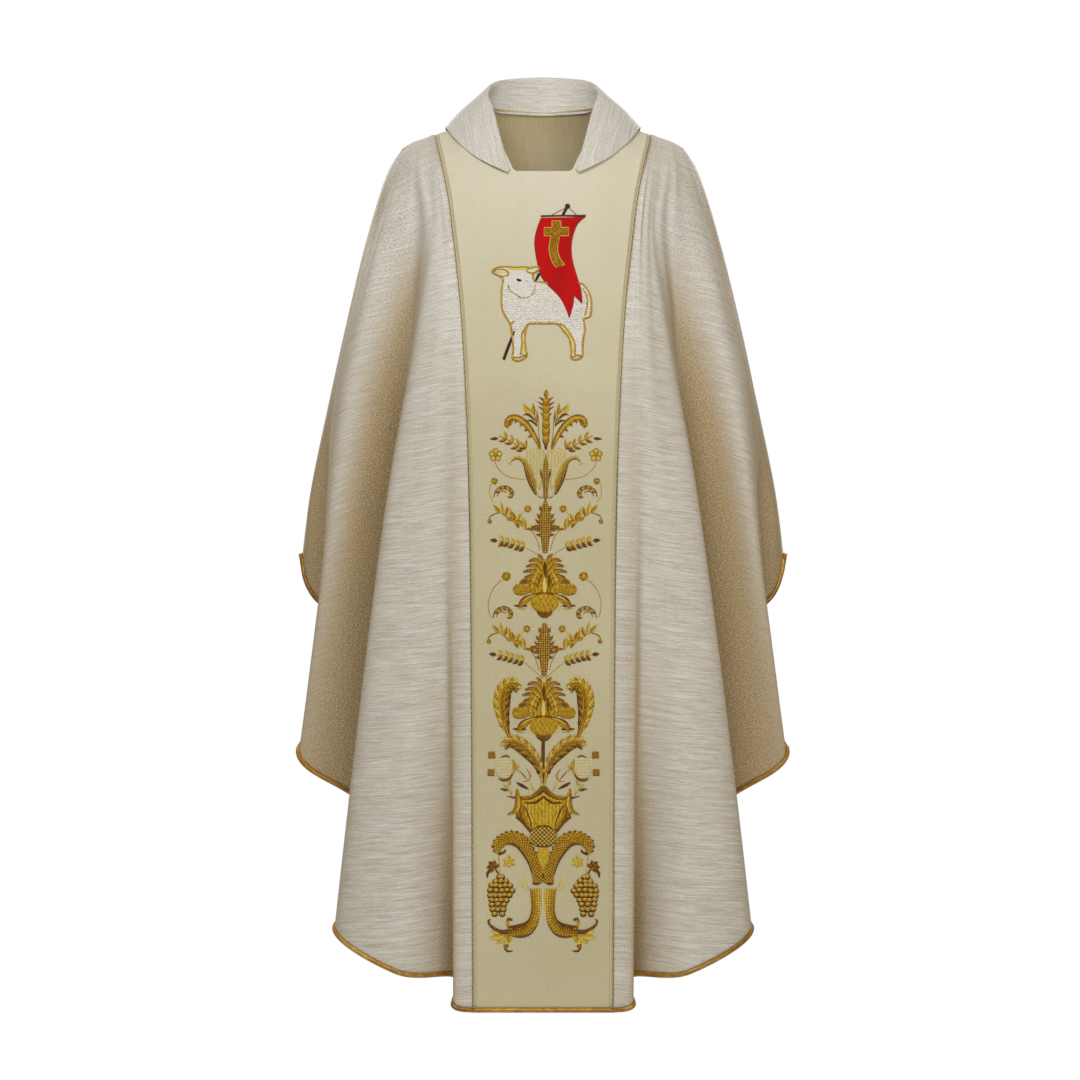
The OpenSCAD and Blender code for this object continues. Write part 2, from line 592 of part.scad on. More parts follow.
module back_column_foot() {
    color(GOLD) back_patch() {
        stem_shape();
        crown_shape();
        horn_shape();
        grape_shape();
        leg_shape();
        base_leaf_shape();
    }
}

front_orphrey();
back_orphrey();
front_body_left();
front_body_right();
back_body_left();
back_body_right();
front_lining();
back_lining();
front_interlining();
back_interlining();
top_collar();
under_collar();
collar_interlining();
neckline_facing();
shoulder_tape_left();
shoulder_tape_right();
galloon_front_left();
galloon_front_right();
galloon_back_left();
galloon_back_right();
hem_binding_front();
hem_binding_back();
banner_staff();
banner_crossbar();
banner_cords();
banner_field();
banner_cross();
lamb_fleece();
lamb_outline();
lamb_face();
wheat_finial();
acanthus_fronds();
tulip();
side_branches();
ring_flowers();
curled_ferns();
garlands();
cone_upper();
leaf_sprays();
palmette_upper();
cone_lower();
palmette_lower();
acanthus_plumes();
stem_leaves();
thistles();
crown_fan();
checkered_ball();
horn_scrolls();
grape_clusters();
vine_leaves();
scroll_legs();
base_leaves();
back_column_top();
back_column_middle();
back_column_foot();
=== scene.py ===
import math

import bpy
import numpy as np
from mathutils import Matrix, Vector
from mathutils.geometry import delaunay_2d_cdt


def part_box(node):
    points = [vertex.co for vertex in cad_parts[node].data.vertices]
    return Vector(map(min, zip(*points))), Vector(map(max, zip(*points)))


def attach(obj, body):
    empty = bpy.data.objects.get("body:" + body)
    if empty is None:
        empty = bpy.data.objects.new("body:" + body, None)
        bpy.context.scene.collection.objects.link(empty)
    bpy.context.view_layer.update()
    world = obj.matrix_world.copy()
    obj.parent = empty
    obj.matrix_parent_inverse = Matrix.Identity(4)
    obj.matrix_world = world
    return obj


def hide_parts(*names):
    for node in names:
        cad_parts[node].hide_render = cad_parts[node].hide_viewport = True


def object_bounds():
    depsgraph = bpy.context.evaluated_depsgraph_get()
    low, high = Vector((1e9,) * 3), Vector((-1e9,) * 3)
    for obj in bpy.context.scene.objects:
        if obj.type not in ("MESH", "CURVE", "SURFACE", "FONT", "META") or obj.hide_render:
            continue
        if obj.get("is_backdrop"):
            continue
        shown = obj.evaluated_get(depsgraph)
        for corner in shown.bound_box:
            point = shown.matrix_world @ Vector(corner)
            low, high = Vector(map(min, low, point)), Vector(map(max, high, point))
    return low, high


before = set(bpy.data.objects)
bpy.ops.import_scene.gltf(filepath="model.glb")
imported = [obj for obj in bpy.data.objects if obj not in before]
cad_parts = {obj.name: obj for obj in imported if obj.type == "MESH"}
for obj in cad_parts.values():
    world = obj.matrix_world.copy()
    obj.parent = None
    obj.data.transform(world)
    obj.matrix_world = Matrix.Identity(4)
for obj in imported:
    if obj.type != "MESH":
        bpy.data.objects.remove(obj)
CAD_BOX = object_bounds()

# A lined gothic chasuble, as it hangs when worn. Lengths below are in millimetres, as in the
# design; MM turns them into the frame's metres when a mesh is made.
MM = 0.001
BODY = "root"

# ---- where the design puts things, read from the frame ----
FRONT_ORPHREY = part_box("front_orphrey")
BACK_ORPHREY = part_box("back_orphrey")
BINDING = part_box("hem_binding_front")
BINDING_PLAY = 0.2
HEM_Z = FRONT_ORPHREY[0][2] / MM
CHEST_Y = -FRONT_ORPHREY[0][1] / MM
BACK_SHARE = BACK_ORPHREY[1][1] / MM / CHEST_Y
BINDING_D = (FRONT_ORPHREY[0][2] - BINDING[0][2]) / MM - BINDING_PLAY

# ---- the hanging surface: the same fold lines as the design ----
DROP = [0, 0.05, 0.13, 0.27, 0.45, 0.65, 0.84, 1]
# height at the shoulder, height at the hem, distances from the middle, depths; last the angle that
# the fold line makes with the middle in the flat cut, in degrees
FOLDS = [
    (-9, -1310, [163, 147, 132, 116, 109, 106, 105, 104], [0, -63, -95, -136, -143, -143, -143, -143], 4.6),
    (-10, -1302, [166, 152, 140, 133, 133, 133, 133, 132], [0, -62, -94, -136, -143, -143, -144, -145], 6),
    (-11, -1263, [169, 157, 147, 147, 150, 147, 139, 129], [0, -60, -90, -133, -137, -128, -112, -100], 9),
    (-13, -1253, [173, 164, 157, 165, 184, 200, 210, 215], [0, -57, -87, -126, -134, -138, -146, -150], 13),
    (-15, -1190, [179, 173, 165, 189, 228, 261, 288, 309], [0, -52, -82, -108, -112, -112, -106, -98], 20),
    (-17, -1130, [185, 184, 175, 194, 214, 220, 212, 205], [0, -46, -72, -80, -72, -62, -52, -44], 27),
    (-19, -1060, [191, 194, 188, 196, 200, 180, 163, 152], [0, -39, -58, -60, -44, -24, -14, -10], 33.5),
    (-21, -993, [196, 203, 209, 220, 241, 258, 274, 290], [0, -32, -50, -58, -52, -44, -40, -35], 40),
    (-24, -925, [201, 213, 235, 262, 289, 315, 343, 364], [0, -23, -36, -52, -58, -58, -50, -38], 48),
    (-26, -801, [205, 221, 240, 272, 306, 322, 296, 250], [0, -13, -22, -28, -30, -24, -8, 0], 56),
    (-28, -699, [208, 227, 246, 273, 303, 330, 349, 345], [0, -4, -6, -6, -4, 0, 5, 10], 65),
    (-30, -639, [211, 231, 249, 273, 299, 326, 350, 363], [0, 4, 6, 9, 13, 17, 22, 25], 72),
]
FOLD_TOP, FOLD_HEM, FOLD_X, FOLD_Y, FOLD_ANGLE = (np.array(c, float) for c in zip(*FOLDS))
SEAM_SLOPE = math.radians(14)
# in the flat cut a fold line reaches this share of its place on the shoulder past its own length
HEM_FLARE = 0.55
BACK_TUCK = 0.03
RIDGE = [(0, 40), (78, 40), (92, 33), (106, 23), (124, 10), (145, -3), (163, -9), (211, -30)]
BACK_RIDGE = [(0, 108), (22, 103), (44, 90), (66, 69), (88, 40), (106, 23), (124, 10), (145, -3), (163, -9)]
CHEST = [(0, 0), (8, 14), (20, 28), (50, 54), (110, 78), (405, 140), (440, 143), (2000, 143)]
ORPHREY = [(-1312, 104), (-862, 106), (-612, 108), (-437, 113), (-322, 119), (-268, 123), (-209, 129),
           (-158, 135), (-112, 141), (-56, 152), (-8, 163), (40, 169)]
NECKLINE_HALF = 48
NECKLINE_Z = -70
# height of the front neckline's side end, and of the back neckline in its middle and how far it rises
NECK_SIDE_Z = 33
BACK_NECK_Z = 30
BACK_NECK_RISE = 6
SEAM_SHARE = 0.55
TOP_HALF = 166

# ---- cloth ----
CLOTH_T = 0.9
LINING_IN = 2.2
LINING_T = 0.5
STIFFENER_IN = 1.2
STIFFENER_T = 0.7
STIFFENER_REACH = 0.96
PANEL_COLUMNS = 190
PANEL_ROWS = 210
STRIP_COLUMNS = 120
LINING_COLUMNS = 120
LINING_STRIP_COLUMNS = 40
LINING_ROWS = 150
# small uneven waves: how many across a panel, the size of a single one, and nearly a turn in radians
RIPPLES = (2.5, 4, 6.5, 9)
RIPPLE_SIZE = 5.0
RIPPLE_SEED = 11
CYCLE = 6.28
# they fade out over these shares of the panel, to the seam, the side and the shoulder
CALM_SEAM = 0.12
CALM_SIDE = 0.06
CALM_TOP = 0.25
# the weft lies less slanted on the hanging sides than in the flat cut
WEAVE_TURN = 0.62
# painted golden shade in the folds: cloth counts as deep in a fold behind a cone of this slope, fully so at
# this depth
CONE_SLOPE = 0.85
FULL_DEPTH = 36
DEPTH_CURVE = 1.1
# from this share of the panel's length, growing over this share
DEPTH_FROM = (0.06, 0.2)
# where the cloth turns aside from the front it gets more painted golden shade, standing in for the lurex seen
# at a slant
TURN_STARTS = 0.93
TURN_SHARE = 0.75
# the long fold beside the centre strip gets painted golden shade along its edge, where it turns away
EDGE_AT = 0.1
EDGE_REACH = 0.045
EDGE_SHARE = 0.5
EDGE_FROM = (0.35, 0.35)
# grid columns over which that painted shade fades out
SOFTEN = 15


def face(back):
    return "back" if back else "front"


def rise(value, start, over):
    """0 up to start, 1 from start + over, straight between them."""
    return np.clip((value - start) / over, 0, 1)


def catmull_rom(a, b, c, d, t):
    """Smooth curve from b to c at t, 0 to 1, with a before b and d after c."""
    return 0.5 * (2 * b + (c - a) * t + (2 * a - 5 * b + 4 * c - d) * t**2 + (3 * b - 3 * c + d - a) * t**3)


def along(keys, s):
    """Smooth curve through evenly numbered keys, at shares s of its length."""
    keys = np.asarray(keys, float)
    n = len(keys) - 1
    s = np.clip(np.asarray(s, float), 0, 1) * n
    i = np.minimum(np.floor(s).astype(int), n - 1)
    t = (s - i).reshape(s.shape + (1,) * (keys.ndim - 1))
    return catmull_rom(*(keys[np.clip(i + k, 0, n)] for k in (-1, 0, 1, 2)), t)


def along_columns(keys, s):
    """The same for keys numbered on the second axis."""
    return np.swapaxes(along(np.swapaxes(keys, 0, 1), s), 0, 1)


def smooth_lookup(x, table):
    """Value at x of a smooth curve through (x, value) pairs that never overshoots them."""
    px, py = (np.array(c, float) for c in zip(*table))
    h = np.diff(px)
    slope = np.diff(py) / h
    before, after = slope[:-1], slope[1:]
    inner = np.where(after * before > 0, 2 * after * before / (after + before + 1e-12), 0)
    m = np.concatenate([[slope[0]], inner, [slope[-1]]])
    x = np.clip(x, px[0], px[-1])
    i = np.clip(np.searchsorted(px, x, side="right") - 1, 0, len(h) - 1)
    t = (x - px[i]) / h[i]
    return ((2 * t**3 - 3 * t**2 + 1) * py[i] + (t**3 - 2 * t**2 + t) * h[i] * m[i]
            + (3 * t**2 - 2 * t**3) * py[i + 1] + (t**3 - t**2) * h[i] * m[i + 1])


def unit(v):
    return v / np.maximum(np.linalg.norm(v, axis=-1, keepdims=True), 1e-9)


def reach_along(points):
    """Length covered so far at each of the points, which are numbered on the first axis."""
    step = np.linalg.norm(np.diff(points, axis=0), axis=-1)
    return np.concatenate([np.zeros((1,) + step.shape[1:]), np.cumsum(step, axis=0)])


def across_path(path, up):
    """Unit directions to the side of a path and up from the surface that it lies on."""
    ahead = unit(np.gradient(path, axis=0))
    side = unit(np.cross(ahead, up))
    return side, unit(np.cross(side, ahead))


def grid_normals(grid):
    """Normals of a grid whose rows run down and whose columns run to the viewer's right."""
    return unit(np.cross(np.gradient(grid, axis=0), np.gradient(grid, axis=1)))


def outward(back):
    """The grid normals point to the front; on the back they point inwards."""
    return -1 if back else 1


# ---- body panels ----
def fold_lines(v):
    """Points of all fold lines of the +X front half, at the shares v of their length."""
    z = FOLD_TOP + along(DROP, v)[:, None] * (FOLD_HEM - FOLD_TOP)
    return np.stack([along(FOLD_X.T, v), along(FOLD_Y.T, v), z], axis=-1)


def to_back(lines):
    """The same fold lines on the back: shallower, pulled in at the middle, joined at the side."""
    share = (np.arange(len(FOLDS)) / (len(FOLDS) - 1)) ** 2
    side_y = lines[:, -1:, 1]
    x = lines[..., 0] * (1 - BACK_TUCK * (1 - share))
    y = -BACK_SHARE * lines[..., 1] + (1 + BACK_SHARE) * side_y * share
    return np.stack([x, y, lines[..., 2]], axis=-1)


def ripple(u, v, seed):
    """Small uneven waves of hanging cloth, in millimetres, that run with the folds."""
    rng = np.random.default_rng(seed)
    total = np.zeros(np.broadcast(u, v).shape)
    for waves in RIPPLES:
        drift, phase, pace = rng.uniform(-0.6, 0.6), rng.uniform(0, CYCLE), rng.uniform(0.7, 1.6)
        swell = 0.5 + 0.5 * np.sin(CYCLE * pace * v + phase)
        total += RIPPLE_SIZE / waves * swell * np.sin(CYCLE * waves * (u + 0.05 * drift * v) + 3 * phase)
    near_seam = rise(u, 0, CALM_SEAM) * rise(1 - u, 0, CALM_SIDE)
    return total * near_seam * rise(v, 0, CALM_TOP) ** 1.5


def flat_cut(lines, u, turn=1.0):
    """Place of each grid point in the flat cut, in metres, with the neck at zero."""
    reach = reach_along(lines)
    angle = turn * np.radians(FOLD_ANGLE)
    top_x = FOLD_X[:, 0]
    top = np.stack([top_x, -top_x * math.tan(SEAM_SLOPE)], axis=-1)
    radius = reach[-1] + HEM_FLARE * top_x
    hem = np.stack([radius * np.sin(angle), -radius * np.cos(angle)], axis=-1)
    share = (reach / reach[-1])[..., None]
    return along_columns(top + share * (hem - top), u) * MM


def side_surface(back, side, columns=PANEL_COLUMNS, rows=PANEL_ROWS):
    """Grid of a body panel, from the orphrey seam to the side, its flat cut and its weave."""
    u, v = np.linspace(0, 1, columns + 1), np.linspace(0, 1, rows + 1)
    lines = fold_lines(v)
    if back:
        lines = to_back(lines)
    grid = along_columns(lines, u)
    seed = RIPPLE_SEED + 2 * int(back) + int(side > 0)
    grid = grid + grid_normals(grid) * ripple(u[None, :], v[:, None], seed)[..., None]
    flat, weave = flat_cut(lines, u), flat_cut(lines, u, WEAVE_TURN)
    if side < 0:
        grid = (grid * [-1, 1, 1])[:, ::-1]
        flat, weave = ((f * [-1, 1])[:, ::-1] for f in (flat, weave))
    return grid, flat, weave


def painted_fold_shade(grid, back):
    """Painted golden shade at each point, from 0 to 1: how deep it lies behind the folds beside it, how far
    it is turned aside, and how near it is to the fold edge beside the strip.
    """
    front = outward(back) * grid[..., 1]
    x = grid[..., 0]
    shade = np.empty_like(front)
    for r in range(len(grid)):
        cone = front[r][None, :] + CONE_SLOPE * np.abs(x[r][None, :] - x[r][:, None])
        shade[r] = front[r] - cone.min(axis=1)
    rows = np.linspace(0, 1, len(grid))[:, None]
    # painted shade and bounced golden light deep in the valleys
    valley = np.clip(shade / FULL_DEPTH, 0, 1) ** DEPTH_CURVE * rise(rows, *DEPTH_FROM)
    # painted shade where the cloth faces aside from the front
    turned = np.clip((TURN_STARTS - np.abs(grid_normals(grid)[..., 1])) / TURN_STARTS, 0, 1)
    u = np.linspace(0, 1, grid.shape[1])
    if abs(grid[0, 0, 0]) > abs(grid[0, -1, 0]):
        u = u[::-1]
    # painted shade along the fold edge beside the strip
    edge = np.exp(-((u - EDGE_AT) / EDGE_REACH) ** 2) * rise(rows, *EDGE_FROM)
    tint = valley + TURN_SHARE * turned + EDGE_SHARE * edge
    kernel = np.hanning(SOFTEN + 2)[1:-1] / np.hanning(SOFTEN + 2).sum()
    wide = np.pad(tint, ((0, 0), (SOFTEN // 2, SOFTEN // 2)), mode="edge")
    return np.clip([np.convolve(row, kernel, "valid") for row in wide], 0, 1)


# ---- middle strip: orphrey, stiffening and lining between the two orphrey seams ----
def ridge_height(x, back):
    """Height of the shoulder line, or of the back neckline, at a distance from the middle."""
    return smooth_lookup(np.abs(x), BACK_RIDGE if back else RIDGE)


def cloth_y(x, z, back):
    """Depth of the middle strip at a place: the chest's curve below the shoulder line."""
    return (BACK_SHARE if back else -1) * smooth_lookup(ridge_height(x, back) - z, CHEST)


def strip_top(a, back):
    """Height of the strip's upper edge at a share of its half width: neckline, then shoulder seam."""
    a = np.abs(a)
    x = a * TOP_HALF
    if back:
        neck = BACK_NECK_Z + BACK_NECK_RISE * a / SEAM_SHARE
    else:
        slope = rise(x, NECKLINE_HALF, SEAM_SHARE * TOP_HALF - NECKLINE_HALF)
        neck = NECKLINE_Z + (NECK_SIDE_Z - NECKLINE_Z) * slope
    return np.where(a >= SEAM_SHARE, ridge_height(x, False), neck)


def strip_surface(back, columns=STRIP_COLUMNS, rows=PANEL_ROWS, reach=1.0):
    """Grid of the strip, or of the middle share of it, and its flat cut."""
    a, v = np.linspace(-reach, reach, columns + 1)[None, :], np.linspace(0, 1, rows + 1)[:, None]
    top = strip_top(a, back)
    z = top + along(DROP, v[:, 0])[:, None] * (HEM_Z - top)
    x = a * smooth_lookup(z, ORPHREY)
    y = cloth_y(x, z, back)
    y = np.where((np.abs(a) >= SEAM_SHARE) & (v == 0), 0, y)
    return np.stack([x, y, z], axis=-1), np.stack([x, z], axis=-1) * MM


# ---- meshes ----
def point_values(obj, name, values):
    """Give a mesh one number per point for its material to read."""
    layer = obj.data.attributes.new(name, "FLOAT", "POINT")
    layer.data.foreach_set("value", np.asarray(values, dtype=np.float32).ravel())


def new_object(name, verts, faces, uv, material):
    """Object from points in millimetres, faces as lists of corners and one UV per point."""
    mesh = bpy.data.meshes.new(name)
    mesh.from_pydata((np.asarray(verts) * MM).tolist(), [], [tuple(f) for f in faces])
    mesh.validate()
    layer = mesh.uv_layers.new(name="cut")
    corners = np.empty(len(mesh.loops), dtype=np.int32)
    mesh.loops.foreach_get("vertex_index", corners)
    layer.data.foreach_set("uv", np.asarray(uv, dtype=np.float32)[corners].ravel())
    mesh.polygons.foreach_set("use_smooth", [True] * len(mesh.polygons))
    mesh.update()
    obj = bpy.data.objects.new(name, mesh)
    bpy.context.scene.collection.objects.link(obj)
    obj.data.materials.append(material)
    return obj


def quads(rows, cols, start=0, flip=False):
    r, c = np.meshgrid(np.arange(rows), np.arange(cols), indexing="ij")
    a = (start + r * (cols + 1) + c).ravel()
    corners = [a, a + cols + 1, a + cols + 2, a + 1]
    return np.stack(corners[::-1] if flip else corners, axis=-1)


def shell_object(name, grid, flat, outer, inner, material, back=False):
    """Closed sheet of cloth between two depths under a grid."""
    rows, cols = grid.shape[0] - 1, grid.shape[1] - 1
    wide = cols + 1
    normal = grid_normals(grid) * outward(back)
    count = (rows + 1) * wide
    verts = np.concatenate([(grid - depth * normal).reshape(-1, 3) for depth in (outer, inner)])
    edge = np.concatenate([np.arange(cols), np.arange(rows) * wide + cols,
                           rows * wide + np.arange(cols, 0, -1), np.arange(rows, 0, -1) * wide])
    after = np.roll(edge, -1)
    rim = np.stack([edge, after, after + count, edge + count], axis=-1)
    faces = np.concatenate([quads(rows, cols), quads(rows, cols, count, True), rim])
    if back:
        faces = faces[:, ::-1]
    return new_object(name, verts, faces, np.concatenate([flat.reshape(-1, 2)] * 2), material)


def tube_faces(rings, sides, flip=False):
    """Faces of a tube made of rings of points, with a cap at each end."""
    i, k = np.meshgrid(np.arange(rings - 1), np.arange(sides), indexing="ij")
    a, b = i * sides + k, i * sides + (k + 1) % sides
    corners = [a, b, b + sides, a + sides] if flip else [a, a + sides, b + sides, b]
    first = list(range(sides))
    last = [(rings - 1) * sides + j for j in first]
    caps = [first[::-1], last] if flip else [first, last[::-1]]
    return np.stack(corners, axis=-1).reshape(-1, 4).tolist() + caps


def tube_uv(reach, around):
    """UV of a tube's points, along it and round it."""
    return np.stack(np.meshgrid(reach, around, indexing="ij"), axis=-1).reshape(-1, 2)


# width of the texture once round a tube, in metres
TUBE_ROUND = math.pi * 0.005


def tube_object(name, path, width, height, up, material, sides):
    """Closed tube of an oval section along a path."""
    side, top = across_path(path, up)
    turn = 2 * math.pi * np.arange(sides) / sides
    ring = (side[:, None] * np.cos(turn)[None, :, None] * width / 2
            + top[:, None] * np.sin(turn)[None, :, None] * height / 2)
    verts = (path[:, None] + ring).reshape(-1, 3)
    uv = tube_uv(reach_along(path) * MM, np.arange(sides) / sides * TUBE_ROUND)
    return new_object(name, verts, tube_faces(len(path), sides), uv, material)


# ---- materials ----
# height on the garment for a material: metres above the shoulder line times this, plus this
HEIGHT_SCALE = 1.8
HEIGHT_START = 1.12


def linear(red, green, blue):
    """Colour as it looks on a screen, 0 to 255, to the values that shaders take."""
    def one(c):
        c /= 255
        return c / 12.92 if c <= 0.04045 else ((c + 0.055) / 1.055) ** 2.4
    return (one(red), one(green), one(blue), 1)


class Cloth:
    """A material with one Principled surface, and short calls for the nodes that feed it."""

    def __init__(self, name, roughness, metallic=0.0, sheen=0.0, sheen_roughness=0.4, specular=0.4):
        self.material = bpy.data.materials.new(name)
        self.material.use_nodes = True
        self.tree = self.material.node_tree
        self.surface = self.tree.nodes["Principled BSDF"]
        for socket, value in (("Roughness", roughness), ("Metallic", metallic), ("Sheen Weight", sheen),
                              ("Sheen Roughness", sheen_roughness), ("Specular IOR Level", specular)):
            self.surface.inputs[socket].default_value = value

    def plug(self, value, socket):
        if isinstance(value, bpy.types.NodeSocket):
            self.tree.links.new(value, socket)
        else:
            socket.default_value = value

    def node(self, kind, out=0, props=None, **inputs):
        n = self.tree.nodes.new(kind)
        for key, value in (props or {}).items():
            setattr(n, key, value)
        for key, value in inputs.items():
            self.plug(value, n.inputs[key.replace("_", " ")])
        return n.outputs[out]

    def cut(self, across, along_cut, turn=0.0):
        """Place in the flat cut, scaled to features per metre across and along."""
        uv = self.node("ShaderNodeTexCoord", out="UV")
        return self.node("ShaderNodeMapping", Vector=uv, Scale=(across, along_cut, 1), Rotation=(0, 0, turn))

    def place(self, scale):
        """Place on the object, scaled to features per metre."""
        spot = self.node("ShaderNodeTexCoord", out="Object")
        return self.node("ShaderNodeMapping", Vector=spot, Scale=(scale, scale, scale))

    def height(self):
        """Height on the garment, 0 well below the chest and 1 at the neck."""
        spot = self.node("ShaderNodeTexCoord", out="Object")
        z = self.node("ShaderNodeSeparateXYZ", out="Z", Vector=spot)
        return self.math("MULTIPLY_ADD", z, HEIGHT_SCALE, HEIGHT_START)

    def noise(self, vector, detail=2.0, rough=0.5, distortion=0.0):
        return self.node("ShaderNodeTexNoise", Vector=vector, Scale=1.0, Detail=detail, Roughness=rough,
                         Distortion=distortion)

    def cells(self, vector):
        return self.node("ShaderNodeTexVoronoi", out="Distance", Vector=vector, Scale=1.0)

    def waves(self, vector, scale, distortion=0.0, direction="X"):
        return self.node("ShaderNodeTexWave", out=1, props={"bands_direction": direction}, Vector=vector,
                         Scale=scale, Distortion=distortion)

    def ramp(self, value, stops):
        n = self.tree.nodes.new("ShaderNodeValToRGB")
        self.plug(value, n.inputs[0])
        points = n.color_ramp.elements
        while len(points) < len(stops):
            points.new(0.5)
        for point, (place, colour) in zip(points, stops):
            point.position = place
            point.color = colour
        return n.outputs[0]

    def colours(self, value, *stops):
        """Ramp of screen colours, each as its place, red, green and blue."""
        return self.ramp(value, [(place, linear(*rgb)) for place, *rgb in stops])

    def greys(self, value, *stops):
        """Ramp of levels, each as its place and level."""
        return self.ramp(value, [(place, (level, level, level, 1)) for place, level in stops])

    def math(self, operation, a, b=0.0, c=0.0):
        n = self.tree.nodes.new("ShaderNodeMath")
        n.operation = operation
        for value, socket in zip((a, b, c), n.inputs):
            self.plug(value, socket)
        return n.outputs[0]

    def times(self, value, factor):
        return self.math("MULTIPLY", value, factor)

    def weighted(self, *parts):
        """Sum of values, each given with its weight."""
        (value, weight), *rest = parts[::-1]
        total = self.times(value, weight)
        for value, weight in rest:
            total = self.math("MULTIPLY_ADD", value, weight, total)
        return total

    def mix(self, share, a, b, blend="MIX"):
        n = self.tree.nodes.new("ShaderNodeMix")
        n.data_type = "RGBA"
        n.blend_type = blend
        for value, socket in ((share, "Factor"), (a, 6), (b, 7)):
            self.plug(value, n.inputs[socket])
        return n.outputs[2]

    def attribute(self, name):
        return self.node("ShaderNodeAttribute", out="Fac", props={"attribute_name": name})

    def finish(self, colour, height, strength, depth, roughness=None):
        self.plug(colour, self.surface.inputs["Base Color"])
        if roughness is not None:
            self.plug(roughness, self.surface.inputs["Roughness"])
        bump = self.node("ShaderNodeBump", Height=height, Strength=strength, Distance=depth)
        self.plug(bump, self.surface.inputs["Normal"])
        return self.material


def brocade_material():
    """Ivory lurex: fine uneven weft in silver, cream and beige, with painted glints, a painted lighter
    silvery top and painted golden shade in the folds.
    """
    m = Cloth("brocade", roughness=0.52, sheen=0.25, sheen_roughness=0.35, specular=0.45)
    streak = m.noise(m.cut(30, 440), detail=3, rough=0.65, distortion=0.3)
    band = m.noise(m.cut(7, 150))
    yarn = m.noise(m.cut(160, 900), rough=0.6)
    cloud = m.noise(m.cut(7, 5))
    mixed = m.weighted((band, 0.16), (yarn, 0.24), (streak, 0.6))
    colour = m.colours(mixed, (0.37, 186, 177, 156), (0.45, 205, 199, 185), (0.53, 220, 217, 208),
                       (0.61, 238, 236, 232))
    pink = m.colours(m.noise(m.cut(12, 200), detail=1), (0.45, 255, 252, 240), (0.6, 250, 240, 238))
    colour = m.mix(0.6, colour, pink, "MULTIPLY")
    colour = m.mix(m.times(cloud, 0.25), colour, linear(218, 208, 186))
    # painted golden shade in the folds, standing in for shadow and light bounced between them
    folds = m.attribute("fold")
    colour = m.mix(m.times(folds, 0.9), colour, linear(172, 138, 66))
    # painted light: lighter and more silvery towards the shoulders
    high = m.greys(m.height(), (0.35, 0), (0.85, 1))
    colour = m.mix(m.times(high, 0.16), colour, linear(222, 222, 220))
    # painted sparkle: bright glints and dark specks, stronger towards the shoulders and in the folds
    share = m.math("MULTIPLY_ADD", m.math("MAXIMUM", high, folds), 0.36, 0.08)
    spark = m.noise(m.cut(520, 620), rough=0.7)
    painted_glint = m.greys(spark, (0.52, 0), (0.6, 1))
    painted_dark_speck = m.greys(spark, (0.4, 1), (0.48, 0))
    colour = m.mix(m.times(painted_glint, share), colour, linear(246, 243, 236))
    colour = m.mix(m.times(painted_dark_speck, share), colour, linear(146, 134, 108))
    height = m.math("MULTIPLY_ADD", yarn, 0.5, mixed)
    rough = m.greys(mixed, (0.4, 0.56), (0.6, 0.4))
    return m.finish(colour, height, strength=0.3, depth=0.0006, roughness=rough)


def orphrey_material():
    """Pale yellow cloth with a fine even weave, painted lighter towards the top."""
    threads = 520
    m = Cloth("orphrey_cloth", roughness=0.62, sheen=0.2, specular=0.3)
    spot = m.cut(1, 1)
    weave = m.times(m.waves(spot, threads), m.waves(spot, threads, direction="Y"))
    slub = m.noise(m.cut(40, 700))
    slub_up = m.noise(m.cut(700, 30))
    cloud = m.noise(m.cut(4, 5), detail=1)
    uneven = m.weighted((slub, 0.35), (slub_up, 0.25), (cloud, 0.4))
    low = m.colours(uneven, (0.3, 202, 188, 146), (0.5, 210, 198, 158), (0.7, 219, 209, 172))
    top = m.colours(uneven, (0.3, 216, 207, 174), (0.5, 224, 216, 188), (0.7, 232, 226, 202))
    # painted light: lighter towards the neck, darker towards the hem
    colour = m.mix(m.greys(m.height(), (0, 0), (1, 1)), low, top)
    colour = m.mix(m.times(weave, 0.1), colour, linear(186, 168, 120))
    height = m.math("MULTIPLY_ADD", weave, 0.7, uneven)
    return m.finish(colour, height, strength=0.35, depth=0.0004)


def lining_material():
    """Cream satin with a fine vertical sheen."""
    m = Cloth("lining_satin", roughness=0.38, sheen=0.3, sheen_roughness=0.3, specular=0.5)
    thread = m.noise(m.cut(500, 30))
    cloud = m.noise(m.cut(9, 6), detail=3)
    mixed = m.weighted((thread, 0.3), (cloud, 0.7))
    colour = m.colours(mixed, (0.35, 196, 174, 130), (0.5, 212, 192, 150), (0.65, 224, 208, 170))
    return m.finish(colour, thread, strength=0.25, depth=0.0004)


def stiffener_material():
    m = Cloth("interlining", roughness=0.85, sheen=0.1)
    web = m.noise(m.cut(300, 300), detail=3)
    colour = m.colours(web, (0.4, 226, 222, 208), (0.6, 240, 237, 228))
    return m.finish(colour, web, strength=0.4, depth=0.0004)


def satin_binding_material():
    """Gold-brown satin bias, with the slanted creases of a rolled strip; its colour is painted darker in
    their hollows, over an uneven tone.
    """
    m = Cloth("hem_satin", roughness=0.34, metallic=0.35, sheen=0.1, specular=0.6)
    crease = m.noise(m.cut(90, 260, turn=0.5), detail=3, rough=0.6)
    slow = m.noise(m.cut(9, 40))
    # the colour follows the crease relief: painted shade in the hollows, lighter on the ridges, half of it an
    # uneven tone
    mixed = m.weighted((slow, 0.5), (crease, 0.5))
    colour = m.colours(mixed, (0.36, 134, 92, 22), (0.5, 180, 130, 40), (0.64, 214, 170, 80))
    return m.finish(colour, crease, strength=0.5, depth=0.0012)


